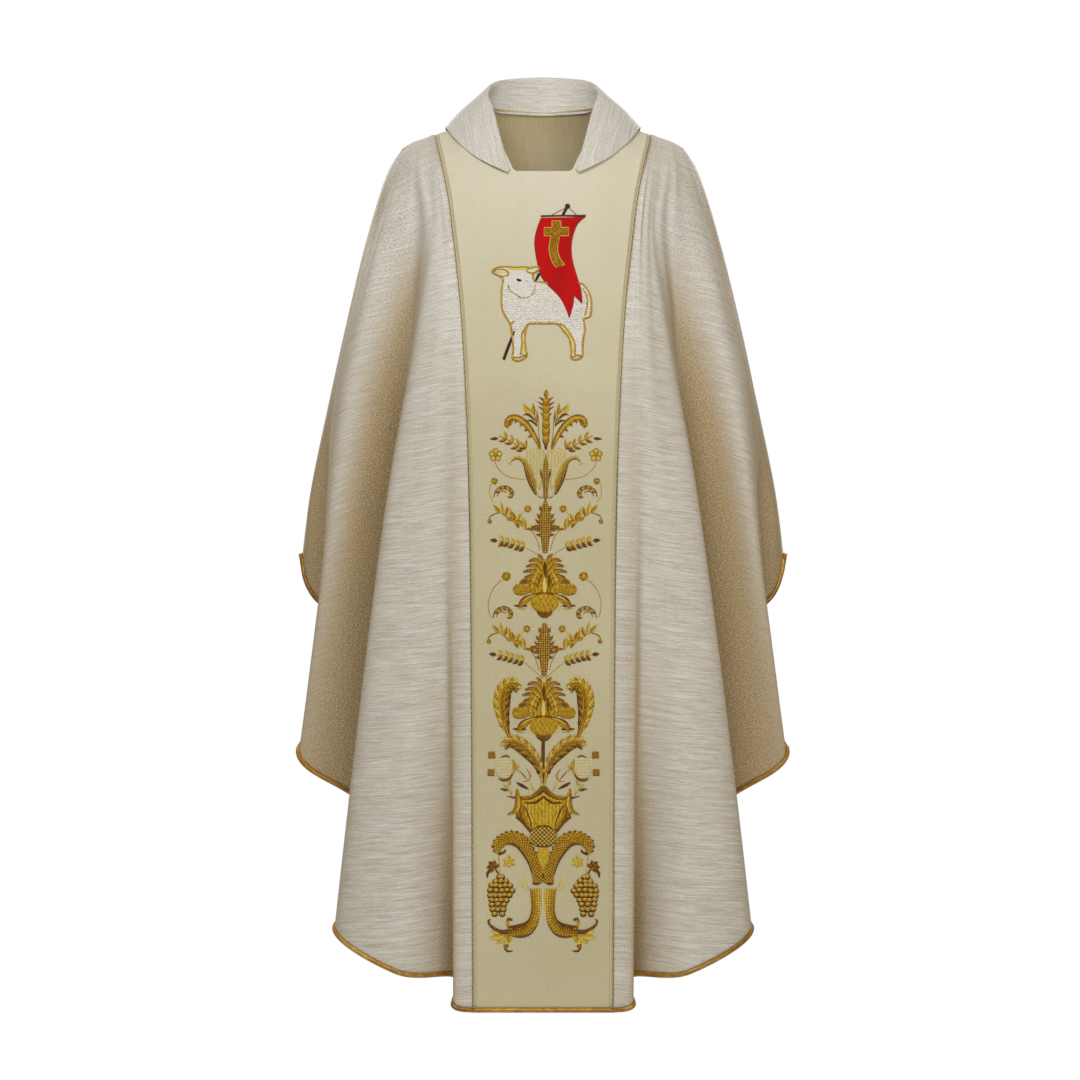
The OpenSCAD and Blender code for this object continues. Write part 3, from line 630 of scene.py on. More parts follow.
def thread_material(name, stops, shine=0.0, rough=0.42, pitch=800, slant=0.5, uneven=0.5):
    """Satin stitch: threads laid side by side; tone picks the colour between the stops."""
    m = Cloth(name, roughness=rough, metallic=shine, sheen=0.03, specular=0.35)
    thread = m.waves(m.cut(1, 1, turn=slant), pitch, distortion=0.6)
    fibre = m.noise(m.cut(650, 170, turn=slant), rough=0.6)
    speck = m.noise(m.place(420), rough=0.7)
    rough_part = m.math("MULTIPLY_ADD", m.math("ADD", fibre, speck), uneven, -uneven)
    level = m.math("ADD", m.math("MULTIPLY_ADD", thread, 0.1, m.attribute("tone")), rough_part)
    count = len(stops) - 1
    colour = m.colours(level, *((k / count, *stop) for k, stop in enumerate(stops)))
    height = m.math("MULTIPLY_ADD", thread, 0.5, fibre)
    return m.finish(colour, height, strength=0.7, depth=0.0005)


def fleece_material():
    m = Cloth("white_thread", roughness=0.8, sheen=0.4, sheen_roughness=0.5, specular=0.2)
    loop = m.cells(m.place(420))
    # the colour follows the loops' relief: painted shade in their hollows
    level = m.math("MULTIPLY_ADD", loop, 0.25, m.attribute("tone"))
    colour = m.colours(level, (0.1, 132, 118, 98), (0.4, 196, 186, 168), (0.75, 238, 232, 222))
    return m.finish(colour, loop, strength=0.6, depth=0.0008)


# ---- sub-parts ----
def keep(obj, node):
    """Every piece rides on the one body and stands in for its design node, which is hidden."""
    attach(obj, BODY)
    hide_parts(node)


def flat_size(flat):
    """Width, length and area of a grid's flat cut, in metres."""
    width, length = np.ptp(flat.reshape(-1, 2), axis=0)
    down, across = np.gradient(flat, axis=0), np.gradient(flat, axis=1)
    area = abs(np.cross(down, across)[:-1, :-1].sum())
    return (float(width), float(length)), float(min(area, width * length))


def hang(flat):
    """Work out a sheet's size and area from its flat cut; nothing is done with them."""
    size, area = flat_size(flat)


def body_panels(material):
    for back in (False, True):
        for side, word in ((-1, "left"), (1, "right")):
            grid, flat, weave = side_surface(back, side)
            name = f"{face(back)}_body_{word}"
            obj = shell_object(name + "_cloth", grid, weave, 0, CLOTH_T, material, back)
            # the brocade reads this as painted golden shade in the folds
            point_values(obj, "fold", np.tile(painted_fold_shade(grid, back).ravel(), 2))
            keep(obj, name)
            hang(flat)


def strip_panels(name, outer, inner, reach, material):
    for back in (False, True):
        grid, flat = strip_surface(back, reach=reach)
        node = f"{face(back)}_{name}"
        obj = shell_object(node + "_cloth", grid, flat, outer, inner, material, back)
        keep(obj, node)
        hang(flat)


def linings(material):
    for back in (False, True):
        left, right = (side_surface(back, side, LINING_COLUMNS, LINING_ROWS)[:2] for side in (-1, 1))
        middle = strip_surface(back, LINING_STRIP_COLUMNS, LINING_ROWS)
        grid, flat = (np.concatenate([a, b[:, 1:-1], c], axis=1) for a, b, c in zip(left, middle, right))
        node = f"{face(back)}_lining"
        obj = shell_object(node + "_cloth", grid, flat, LINING_IN, LINING_IN + LINING_T, material, back)
        keep(obj, node)
        hang(flat)


# the collar's three lines, from the middle of the front to the middle of the back
COLLAR_FOOT = [(48, -76, -66), (57, -64, -41), (66, -49, -10), (74, -30, 17), (82, -4, 34), (77, 26, 38),
               (62, 44, 38), (35, 56, 37), (0, 61, 36)]
COLLAR_ROLL = [(49, -80, -68), (59, -69, -38), (68, -53, -7), (77, -31, 26), (85, -5, 50), (82, 25, 66),
               (68, 50, 76), (39, 68, 81), (0, 74, 83)]
COLLAR_EDGE = [(53, -84, -72), (81, -80, -59), (107, -65, -43), (132, -38, -19), (147, 2, 2),
               (139, 36, -15), (110, 64, -36), (61, 86, -50), (0, 94, -54)]
COLLAR_ROUND = 7
# behind the shoulders the collar's foot goes down and in, inside the back's neckline
FOOT_TUCK = 12
FOOT_INSIDE = 2.5
FOOT_BACK_Y = -10
FOOT_BACK_OVER = 50
TOP_COLLAR_GRID = (260, 60)
# columns, rows, and the shares of the collar's length and height that the hidden layers cover
UNDER_COLLAR_GRID = (200, 30, 0.08, 0.92, 0.58, 0.96)
UNDER_COLLAR_T = 0.5
UNDER_COLLAR_IN = 1.9


def both_sides(points):
    points = np.asarray(points, float)
    return np.concatenate([points, points[-2::-1] * [-1, 1, 1]])


def collar_surface(columns, rows, first=0.0, last=1.0, start=0.0, end=1.0):
    """Grid of the collar: up the neck side, over the roll and down to the outer edge."""
    t = np.linspace(first, last, columns + 1)
    foot, roll, edge = (along(both_sides(k), t) for k in (COLLAR_FOOT, COLLAR_ROLL, COLLAR_EDGE))
    back_part = rise(foot[:, 1:2], FOOT_BACK_Y, FOOT_BACK_OVER)
    foot = foot - back_part * [0, 0, FOOT_TUCK] - back_part * unit(foot * [1, 1, 0]) * FOOT_INSIDE
    middle = (roll + edge) / 2
    away = unit(np.stack([middle[:, 0], middle[:, 1], np.hypot(middle[:, 0], middle[:, 1])], axis=-1))
    middle = middle + COLLAR_ROUND * np.sin(math.pi * t)[:, None] * away
    lines = np.stack([foot, (foot + roll) / 2, roll, middle, edge])
    grid = along(lines, np.linspace(start, end, rows + 1))
    flat = np.stack([np.broadcast_to(reach_along(roll), grid.shape[:2]), -reach_along(grid)], axis=-1) * MM
    return grid, flat


def collar(material, lining, stiffener):
    for name, size, outer, thick, cloth in (
            ("top_collar", TOP_COLLAR_GRID, 0, CLOTH_T, material),
            ("collar_interlining", UNDER_COLLAR_GRID, STIFFENER_IN, UNDER_COLLAR_T, stiffener),
            ("under_collar", UNDER_COLLAR_GRID, UNDER_COLLAR_IN, UNDER_COLLAR_T, lining)):
        grid, flat = collar_surface(*size)
        obj = shell_object(name + "_cloth", grid, flat, outer, outer + thick, cloth)
        keep(obj, name)
        hang(flat)


# the rolled binding: how far its middle lies inside its own edge, how flat it is, and its grids
BINDING_OVER = 1
BINDING_FLAT = 0.8
BINDING_SIDES = 14
BINDING_STRIP_GRID = (40, 12)


def hem_path(back):
    """Middle line of the rolled binding: round the left side, along the front, round the right."""
    parts = []
    below = BINDING_D / 2 - BINDING_OVER
    for side in (-1, 1):
        grid = side_surface(back, side)[0]
        line, normal = grid[-1], grid_normals(grid)[-1]
        parts.append(line + unit(np.cross(np.gradient(line, axis=0), normal)) * below)
    across = strip_surface(back, *BINDING_STRIP_GRID)[0][-1] + [0, 0, -below]
    return np.concatenate([parts[0], across[1:-1], parts[1]])


def hem_bindings(material):
    for back in (False, True):
        name = f"hem_binding_{face(back)}"
        up = np.array([0, -outward(back), 0.5])
        obj = tube_object(name + "_roll", hem_path(back), BINDING_D * BINDING_FLAT, BINDING_D, up, material,
                          BINDING_SIDES)
        keep(obj, name)


# ---- embroidery: closed bits of thread drawn in the plane of the cloth and laid on the orphrey ----
SUNK = 0.3
LAMB_DROP = 10
COLUMN_DROP = 12
# how far the column's middle leans from the strip's, by height
AXIS = [(-1213, -0.6), (-1077, 0.4), (-850, 1.2), (-700, 2.6), (-553, 3.6), (-385, 4.8)]
# section of a ribbon, across and up
RING = np.array([-1, -1, -0.62, 0, 0.62, 1, 1])
RING_UP = np.array([0, 0.45, 0.88, 1, 0.88, 0.45, 0])
# a patterned ribbon wider than this has about one point a millimetre across
WIDE_RIBBON = 4
THINNEST = 0.25
# distance between a ribbon's rings, plain and patterned
PLAIN_STEP = 2.2
PATTERN_STEP = 0.9
# a ribbon narrower than this is lower too
FULL_HEIGHT_FROM = 2.5
EDGE_SHADE = 0.12
LEAF_FULLNESS = 1.08
LEAF_STEPS = 8
TWIST_SLANT = 1.6
# radii and heights of a dot's rings, as shares
DOT_RADII = [0.5, 0.85, 1.0]
DOT_LIFTS = [0.92, 0.6, 0.0]
SLOPE_STEP = 0.5


def edge_point(path, wide, s, side, inset=0.0):
    """Point at share s of a ribbon's left edge, or of its right edge where side is -1."""
    p, q = along(path, [s, s + 0.01])
    ahead = unit(q - p)
    return p + side * np.array([-ahead[1], ahead[0]]) * (float(along(wide, s)) / 2 - inset)


def heading(p, q):
    """Angle from one point to the next, in degrees."""
    return math.degrees(math.atan2(q[1] - p[1], q[0] - p[0]))


def smooth_loop(points, steps=3):
    """Closed smooth line through a few points."""
    p = np.asarray(points, float)
    t = (np.arange(steps) / steps)[None, :, None]
    return catmull_rom(*(np.roll(p, k, axis=0)[:, None] for k in (1, 0, -1, -2)), t).reshape(-1, 2)


def relief(level, deep, tone):
    """Pattern of a ribbon: where level, -1 to 1, is high, it is higher and brighter."""
    def pattern(u, v):
        here = level(u, v)
        return tone * here / 2, deep * here / 2
    return pattern


def chequer(pitch, deep=0.3, tone=0.5):
    """Small diagonal squares, alternately dark and bright."""
    def level(u, v):
        return np.clip(3 * (np.sin(math.pi * (u + v) / pitch) * np.sin(math.pi * (u - v) / pitch)), -1, 1)
    return relief(level, deep, tone)


def lattice(pitch, deep=0.4, tone=0.5):
    """Bright cells between thin dark diagonal threads."""
    def level(u, v):
        cell = np.minimum(*(np.abs(np.sin(math.pi * w / pitch)) for w in (u + v, u - v)))
        return 2 * np.clip(cell * 1.5, 0, 1) - 1
    return relief(level, deep, tone)


def bars(pitch, deep=0.2, tone=0.3):
    """Stripes laid across the shape."""
    return relief(lambda u, v: np.sin(2 * math.pi * u / pitch), deep, tone)


def ribs(pitch, deep, tone):
    """Stripes that run along the shape."""
    return relief(lambda u, v: np.cos(2 * math.pi * v / pitch), deep, tone)


def twist(pitch, deep=0.3, tone=0.5):
    """Strands of a laid cord."""
    return relief(lambda u, v: np.sin(2 * math.pi * (u + TWIST_SLANT * v) / pitch), deep, tone)


class Stitch:
    """One patch of embroidery: closed ribbons, dots and fields, gathered into one mesh."""

    def __init__(self, back=False, column=True, base=0.0):
        self.back, self.column, self.base = back, column, base
        self.side = 1
        self.spots, self.faces, self.uvs, self.tones = [], [], [], []
        self.count = 0
        self.rng = np.random.default_rng(5)

    def pair(self):
        """Draw what follows on the right, then mirrored on the left."""
        for self.side in (1, -1):
            yield self.side
        self.side = 1

    def add(self, xz, height, faces, uv, tone):
        turned = (self.side < 0) != self.back
        for f in faces:
            f = [int(k) + self.count for k in f]
            self.faces.append(f[::-1] if turned else f)
        self.spots.append(np.stack([xz[:, 0] * self.side, xz[:, 1], height + self.base], axis=-1))
        self.uvs.append(uv)
        self.tones.append(np.broadcast_to(tone, len(xz)))
        self.count += len(xz)

    def ribbon(self, path, width, height=1.1, tone=0.5, lean=0.0, fade=0.0, pattern=None, steps=0, lift=0.0):
        """Band along a smooth line; lean shades it across, fade along, pattern adds fine relief."""
        path = np.asarray(path, float)
        width = np.atleast_1d(np.asarray(width, float))
        length = reach_along(along(path, np.linspace(0, 1, 25)))[-1]
        n = steps or int(np.clip(length / (PATTERN_STEP if pattern else PLAIN_STEP), 6, 400))
        s = np.linspace(0, 1, n + 1)
        line = along(path, s)
        wide = np.maximum(along(width, s) if len(width) > 1 else np.full(n + 1, width[0]), THINNEST)
        t = unit(np.gradient(line, axis=0))
        across = np.stack([t[:, 1], -t[:, 0]], axis=-1)
        place, up = RING, RING_UP
        if pattern and width.max() > WIDE_RIBBON:
            inner = np.linspace(-1, 1, int(np.clip(width.max(), 7, 27)))
            place = np.concatenate([[-1], inner, [1]])
            up = np.concatenate([[0], np.clip(1.15 - np.abs(inner) ** 4, 0.3, 1), [0]])
        place, up = place[None, :], up[None, :]
        xz = line[:, None] + across[:, None] * (place[..., None] * wide[:, None, None] / 2)
        plump = height * np.clip(wide / FULL_HEIGHT_FROM, 0.35, 1)
        h = up * plump[:, None] - (up == 0) * SUNK + (up > 0) * lift
        u = np.broadcast_to(reach_along(line)[:, None], h.shape)
        v = place * wide[:, None] / 2
        shade = tone + lean * place + fade * (2 * s[:, None] - 1) - EDGE_SHADE * (np.abs(place) > 0.9)
        if pattern:
            add_tone, add_height = pattern(u, v)
            shade = shade + add_tone
            h = h + np.where(up > 0, add_height, 0)
        uv = np.stack([u, v], axis=-1).reshape(-1, 2) * MM
        shade = np.broadcast_to(shade, h.shape).ravel()
        self.add(xz.reshape(-1, 2), h.ravel(), tube_faces(n + 1, place.size, True), uv, shade)

    def leaf(self, foot, angle, long, wide, tone=0.5, lean=0.1, bend=0.0, height=1.1):
        """Almond of satin stitch from its foot along an angle; bend curves it to its left."""
        spots = [foot]
        for a in (math.radians(angle), math.radians(angle) + math.radians(bend)):
            x, z = spots[-1]
            spots.append((x + 0.5 * long * math.cos(a), z + 0.5 * long * math.sin(a)))
        wide = wide * LEAF_FULLNESS
        self.ribbon(spots, [0.5, wide * 0.8, wide, wide * 0.55, 0.4], height, tone, 1.7 * lean,
                    steps=LEAF_STEPS)

    def dot(self, x, z, r, tone=0.5, height=1.2, squash=1.0, sides=12, rim=-0.2):
        """Round bit of thread; rim changes the tone at its edge."""
        turn = 2 * math.pi * np.arange(sides) / sides
        circle = np.stack([np.cos(turn), squash * np.sin(turn)], axis=-1)
        xz = np.concatenate([[[x, z]]] + [np.array([x, z]) + r * k * circle for k in DOT_RADII])
        h = np.concatenate([[height]] + [np.full(sides, height * k if k else -SUNK) for k in DOT_LIFTS])
        j = np.arange(sides)
        after = (j + 1) % sides
        faces = [[0, 1 + a, 1 + b] for a, b in zip(j, after)]
        for k in range(2):
            inner, outer = 1 + k * sides, 1 + (k + 1) * sides
            faces += [[inner + a, outer + a, outer + b, inner + b] for a, b in zip(j, after)]
        faces.append([1 + 2 * sides + a for a in j[::-1]])
        shade = np.concatenate([[tone], *(np.full(sides, tone + rim * k) for k in (0, 0.5, 1))])
        self.add(xz, h, faces, (xz - [x, z]) * MM, shade)

    def field(self, loop, height=0.9, tone=0.5, grain=2.2, shade=None, edge=1.2):
        """Filled shape; its height falls off to the outline."""
        loop = np.asarray(loop, float)
        low, high = loop.min(axis=0), loop.max(axis=0)
        gx, gz = np.meshgrid(np.arange(low[0], high[0], grain), np.arange(low[1], high[1], grain * 0.87))
        gx = gx + (np.arange(gx.shape[0]) % 2)[:, None] * grain / 2
        inner = np.stack([gx.ravel(), gz.ravel()], axis=-1)
        inner = inner[distance_inside(inner, loop) > grain * 0.35]
        every = [Vector(p) for p in np.concatenate([loop, inner]).tolist()]
        out = delaunay_2d_cdt(every, [], [list(range(len(loop)))], 1, 1e-4)
        xz = np.array([tuple(p) for p in out[0]])
        tris = [list(f) for f in out[2]]
        for f in tris:
            a, b, c = (xz[k] for k in f)
            if (b[0] - a[0]) * (c[1] - a[1]) - (b[1] - a[1]) * (c[0] - a[0]) < 0:
                f.reverse()
        far = np.abs(distance_inside(xz, loop))
        top = height * (0.35 + 0.65 * np.clip(far / edge, 0, 1) ** 0.6)
        borders = {}
        for f in tris:
            for a, b in zip(f, f[1:] + f[:1]):
                borders[(a, b)] = (b, a) in borders
                if (b, a) in borders:
                    borders[(b, a)] = True
        count = len(xz)
        faces = tris + [[k + count for k in f[::-1]] for f in tris]
        faces += [[b, a, a + count, b + count] for (a, b), shared in borders.items() if not shared]
        level = np.full(count, tone) if shade is None else shade(xz[:, 0], xz[:, 1])
        both = np.concatenate([xz, xz])
        h = np.concatenate([top, np.full(count, -SUNK)])
        self.add(both, h, faces, both * MM, np.concatenate([level, level]))

    def sprig(self, path, stem, pairs, long, wide, tone, under, spread, tip=True, start=0.12):
        """Stem with leaves in pairs and one at the tip; under is the tone of the lower row."""
        self.ribbon(path, stem, 0.7, tone - 0.15)
        path = np.asarray(path, float)
        for k in range(pairs):
            s = start + (0.94 - start) * k / pairs
            p, q = along(path, [s, min(s + 0.04, 1)])
            a = heading(p, q)
            jitter = self.rng.uniform(-5, 5, 2)
            self.leaf(p, a + spread + jitter[0], long, wide, tone, 0.12, bend=-14)
            self.leaf(p, a - spread + jitter[1], long, wide, under, -0.12, bend=14)
        if tip:
            p, q = along(path, [0.94, 1.0])
            self.leaf(p, heading(p, q), long * 1.1, wide, under - 0.1)

    def piece(self, name, material, node):
        """Lay the patch on the cloth and keep it."""
        x, z, h = np.concatenate(self.spots).T
        if self.column:
            x = x + smooth_lookup(z, AXIS)
        z = z - (COLUMN_DROP if self.column else LAMB_DROP)

        def slope(dx, dz):
            ahead, behind = (cloth_y(x + k * dx, z + k * dz, self.back) for k in (1, -1))
            return (ahead - behind) / (2 * SLOPE_STEP)
        out = -outward(self.back)
        normal = unit(np.stack([-out * slope(SLOPE_STEP, 0), np.full(len(x), out),
                                -out * slope(0, SLOPE_STEP)], axis=-1))
        verts = np.stack([x, cloth_y(x, z, self.back), z], axis=-1) + normal * h[:, None]
        obj = new_object(name, verts, self.faces, np.concatenate(self.uvs), material)
        point_values(obj, "tone", np.concatenate(self.tones))
        keep(obj, node)


def distance_inside(points, loop):
    """Distance to a closed outline, positive inside it."""
    a, b = loop, np.roll(loop, -1, axis=0)
    ab = b - a
    ap = points[:, None] - a[None]
    t = np.clip((ap * ab).sum(-1) / np.maximum((ab * ab).sum(-1), 1e-9), 0, 1)
    near = np.linalg.norm(ap - ab * t[..., None], axis=-1).min(axis=1)
    above_a, above_b = (end[None, :, 1] > points[:, None, 1] for end in (a, b))
    slope = ab[None, :, 0] / np.where(ab[None, :, 1] == 0, 1e-9, ab[None, :, 1])
    cross_x = a[None, :, 0] + (points[:, None, 1] - a[None, :, 1]) * slope
    inside = ((above_a != above_b) & (points[:, None, 0] < cross_x)).sum(axis=1) % 2 == 1
    return np.where(inside, near, -near)


# ---- the lamb with the banner ----
LAMB = [(-75, -212), (-69, -206.5), (-60, -205), (-50, -205), (-40, -206), (-30, -205), (-20, -206),
        (-12, -205.5), (-4, -206.5), (-8, -211), (-14, -214), (-15, -220), (-12, -227), (-2, -228),
        (16, -230), (36, -228), (56, -230), (65, -238), (71, -252), (71.5, -266), (70, -278), (64, -281),
        (60, -284), (62, -298), (59.5, -312), (58.5, -326), (58, -338), (50, -343), (42, -341), (42, -330),
        (39, -312), (30, -300), (20.5, -290), (2, -289.5), (-16, -289.5), (-23, -292), (-27, -309),
        (-25.5, -328), (-24, -338), (-36, -345), (-45, -341), (-43.5, -328), (-46, -304), (-49.5, -288),
        (-56, -278), (-61, -264), (-61, -240), (-59, -223), (-64, -219), (-70, -216)]
HEAD = [(-54, -216), (-48, -211), (-34, -210), (-20, -213), (-15, -222), (-12.5, -234), (-20, -249),
        (-34, -250), (-50, -240), (-56, -228)]
BANNER = [(-2, -131), (-8, -146), (-12, -165), (-11, -182), (-8, -199), (-4, -215), (5, -230), (16, -241),
          (25, -251), (32, -263), (39, -281), (44, -264), (46, -248), (58, -260), (56, -239), (49, -216),
          (43, -193), (42, -171), (46, -152), (52, -139), (62, -130)]
BANNER_LIFT = 2.4
# rows of curls, their distances, and how far each is moved from its place
CURL_ROWS = 3.7
CURL_APART = 4.3
CURL_LOOSE = 0.9
# curls keep this far inside the outline and outside the banner
CURL_EDGE = 1.4
CURL_BANNER = 2.5
BACK_LINE = -209
LEGS_FROM = -298
# radius, height and tone of a curl, each from and to, and how its edge differs in tone: a painted shade
# between the curls
SMOOTH_CURL = ((1.9, 2.3), (1.25, 1.4), (0.7, 0.85), -0.06)
FLUFFY_CURL = ((1.9, 3.0), (1.6, 2.5), (0.6, 1.0), -0.66)


def fleece_piece(material):
    """White looped stitch: close small curls over the body, smoother thread on the head and legs."""
    st = Stitch(column=False)
    loop = smooth_loop(LAMB)
    st.field(loop, 1.0, 0.5, grain=3.0)
    low, high = loop.min(axis=0), loop.max(axis=0)
    head = smooth_loop(HEAD)
    banner = np.array(BANNER, float)
    for row, z in enumerate(np.arange(low[1], high[1], CURL_ROWS)):
        xs = np.arange(low[0], high[0], CURL_APART) + ((row + 1) % 2) * CURL_APART / 2
        spots = np.stack([xs, np.full(len(xs), z)], axis=-1)
        spots = spots + st.rng.uniform(-CURL_LOOSE, CURL_LOOSE, spots.shape)
        for p, d, f, hidden in zip(spots, *(distance_inside(spots, edge) for edge in (loop, head, banner))):
            if d < CURL_EDGE or hidden > -CURL_BANNER or p[1] > BACK_LINE:
                continue
            smooth = f > 0 or p[1] < LEGS_FROM
            sizes, heights, tones, rim = SMOOTH_CURL if smooth else FLUFFY_CURL
            r, tall, tone = (st.rng.uniform(*ends) for ends in (sizes, heights, tones))
            st.dot(p[0], p[1], r, tone, tall, squash=st.rng.uniform(0.7, 1.0), sides=8, rim=rim)
    st.piece("lamb_fleece_curls", material, "lamb_fleece")


def lamb_outline_piece(material):
    """Gold cord round the lamb, the inner lines of ears and legs, and the gold chin."""
    st = Stitch(column=False)
    laid = twist(3.0)
    edge = smooth_loop(LAMB, 4)
    st.ribbon(np.concatenate([edge, edge[:1]]), 2.7, 2.1, 0.6, pattern=laid)
    lines = [[(-72, -212), (-65, -209), (-56, -210), (-51, -214), (-53, -218), (-60, -220)],
             [(-20, -207), (-24, -211), (-17, -214.5), (-9, -211)],
             [(20, -290), (28, -291), (35, -298), (42, -308), (47, -320), (47, -336)],
             [(-43, -286), (-47, -292), (-45, -302)],
             [(-23, -292), (-31, -305), (-31, -320), (-33, -336)],
             [(58, -236), (65, -250), (65, -266), (62, -277)],
             [(43, -340), (50, -337), (58, -338)], [(-44, -340), (-35, -340), (-25, -336)]]
    for line in lines:
        st.ribbon(line, 2.7, 2.4, 0.56, pattern=laid)
    chin = np.array([(-52, -235), (-47, -242), (-39, -247), (-30, -251.5), (-21, -250), (-13, -243),
                     (-11.5, -232)])
    for s in np.linspace(0, 0.93, 15):
        st.ribbon(along(chin, [s, s + 0.02, s + 0.05]), [1.0, 2.6, 1.4], 3.0, 0.62)
    cream = (([(-71, -212), (-62, -212.5), (-54, -213.5)], [1, 5, 6, 5, 3]),
             ([(-52, -208.5), (-40, -208.5), (-26, -208.5), (-14, -208.5)], [3, 4, 4, 4, 2]),
             ([(-47, -285), (-47, -297)], [3, 4, 1]),
             ([(24, -292), (34, -301), (42, -316), (44, -332)], [1, 4, 4, 3]),
             ([(-27.5, -300), (-28, -318), (-29, -336)], [2, 3.4, 3]))
    for path, wide in cream:
        st.ribbon(path, wide, 1.6, 1.1)
    st.ribbon([(-18, -289.5), (0, -290), (20, -290)], 1.3, 2.5, 0.05)
    st.piece("lamb_outline_cord", material, "lamb_outline")


def lamb_face_piece(material):
    """Eye, brow, nostril, mouth and cheek."""
    st = Stitch(column=False)
    st.ribbon([(-40, -223), (-36, -225), (-31, -226)], [0.6, 3.4, 4.2, 0.6], 2.2, 0.1)
    st.ribbon([(-41, -221.5), (-36, -222), (-30, -224)], 0.8, 2.3, 0.2)
    st.dot(-51, -234, 1.5, 0.35, 2.2)
    st.ribbon([(-40, -248), (-36, -250), (-32, -249)], [0.5, 1.8, 0.5], 2.2, 0.3)
    for x, z in ((-24, -226), (-18, -233), (-16, -241)):
        st.dot(x, z, 1.0, 0.7, 2.0)
    st.piece("lamb_face_threads", material, "lamb_face")


def banner_pieces(brown, red, gold):
    """Staff, crossbar, cords, the red field with its edge, and the gold cross."""
    st = Stitch(column=False)
    st.ribbon([(35, -117), (32, -122), (29, -128)], 4.0, 2.0, 0.3, 0.2)
    st.dot(36.5, -113.5, 4.2, 0.4, 2.4)
    st.ribbon([(-5.5, -215), (-8, -220), (-12, -228)], [4.2, 3.6, 2.0], 2.6, 0.2, 0.15)
    st.ribbon([(-42, -301), (-50, -321), (-58, -343)], [2.6, 4.2, 4.2], 1.9, 0.3, 0.25)
    st.piece("banner_staff_thread", brown, "banner_staff")
    st = Stitch(column=False)
    st.ribbon([(-3, -128.6), (30, -128), (62, -128.4)], [2.6, 2.4, 2.6, 3.6], 1.9, 0.45, 0.2)
    st.dot(61.5, -128.4, 2.3, 0.5, 2.2)
    st.piece("banner_crossbar_thread", brown, "banner_crossbar")
    st = Stitch(column=False)
    st.ribbon([(33, -116.5), (24, -121), (13, -127)], 1.2, 1.0, 0.7)
    st.ribbon([(39, -117), (44, -121), (50, -127)], 1.2, 1.0, 0.7)
    st.piece("banner_cords_thread", brown, "banner_cords")
    st = Stitch(column=False)
    loop = np.array(BANNER, float)

    def satin(x, z):
        drop = np.clip((BANNER[0][1] - z) / 150, 0, 1)
        return 0.5 + 0.12 * np.sin(x / 9 + 4 * drop) - 0.12 * drop
    st.field(loop, BANNER_LIFT, 0.5, grain=2.6, shade=satin, edge=1.6)
    rim = np.concatenate([loop, loop[:1]])
    for first, last in ((0, 10), (10, 11), (11, 12), (12, 13), (13, 20)):
        st.ribbon(rim[first:last + 1], 1.5, BANNER_LIFT + 0.2, 0.18)
    st.piece("banner_field_satin", red, "banner_field")
    st = Stitch(column=False, base=BANNER_LIFT - 0.6)
    weave = chequer(2.4, 0.35, 0.25)
    st.ribbon([(20, -137), (20, -150), (18, -165), (15, -180), (19, -194), (26, -204)],
              [13, 12, 12, 12.5, 12.5, 12, 12], 1.6, 0.36, pattern=weave)
    st.ribbon([(2, -152.5), (20, -152.5), (38, -152.5)], 12.5, 1.7, 0.36, pattern=weave)
    outline = [[(13.5, -136.5), (26.5, -136.5)], [(2, -146.3), (13.5, -146.3)],
               [(26.5, -146.3), (38, -146.3)], [(2, -158.8), (12, -158.8)], [(25.5, -158.8), (38, -158.8)],
               [(2, -146), (2, -159)], [(38, -146), (38, -159)], [(13.5, -136.5), (13.5, -146.3)],
               [(26.5, -136.5), (26.5, -146.3)], [(19, -206), (32, -202)],
               [(12, -159), (9, -178), (13, -196), (19, -206)],
               [(24.5, -159), (21.5, -178), (25, -192), (32, -202)]]
    for line in outline:
        st.ribbon(line, 1.3, 2.0, 0.9, pattern=twist(2.4, tone=0.25))
    st.piece("banner_cross_thread", gold, "banner_cross")


# ---- the column of flowers ----
def wheat(st):
    """Ear of wheat at the column's top, with the grasses beside it."""
    st.ribbon([(0, -474), (0, -440), (0, -398)], [3, 7, 11, 10, 7, 5], 0.8, 0.15)
    for k in range(12):
        z = -466 + 5.6 * k
        size = 10.5 - 0.3 * abs(k - 4)
        for _ in st.pair():
            st.leaf((0.2, z), 60, size, 4.4, 0.42 + 0.2 * (k % 2), -0.16, height=1.5)
    st.leaf((0, -398), 90, 13, 6.4, 0.42, 0.1, height=1.5)
    for z, long, angle in ((-404, 12, 46), (-411, 13.5, 40), (-418, 13, 44), (-428, 11, 58)):
        for _ in st.pair():
            st.leaf((2, z), angle, long, 2.8, 0.3, 0.1, bend=-12)
    for _ in st.pair():
        st.ribbon([(8, -470), (10.5, -448), (11.5, -424)], 1.1, 0.7, 0.3)
        st.ribbon([(5.5, -472), (7.5, -450), (8.5, -430)], 0.9, 0.6, 0.98)
        st.ribbon([(13, -438), (16, -430), (18.5, -421)], 1.2, 0.7, 0.3)
        st.leaf((19.5, -421), 32, 22, 8, 0.72, 0.15, bend=26)
        st.leaf((17.5, -424), 84, 19, 4.8, 0.5, 0.12)
        st.leaf((14, -437), 92, 22, 3.4, 0.45, 0.1)
        st.ribbon([(17, -431), (23, -424.5), (29, -422), (34, -423.5)], [1, 3, 3.4, 2.4, 0.5], 1.1, 0.1)
        st.ribbon([(13, -440), (18.5, -433.5), (24, -431), (29, -431.5)], [1, 3, 3.2, 2.4, 0.5], 1.1, 0.12)


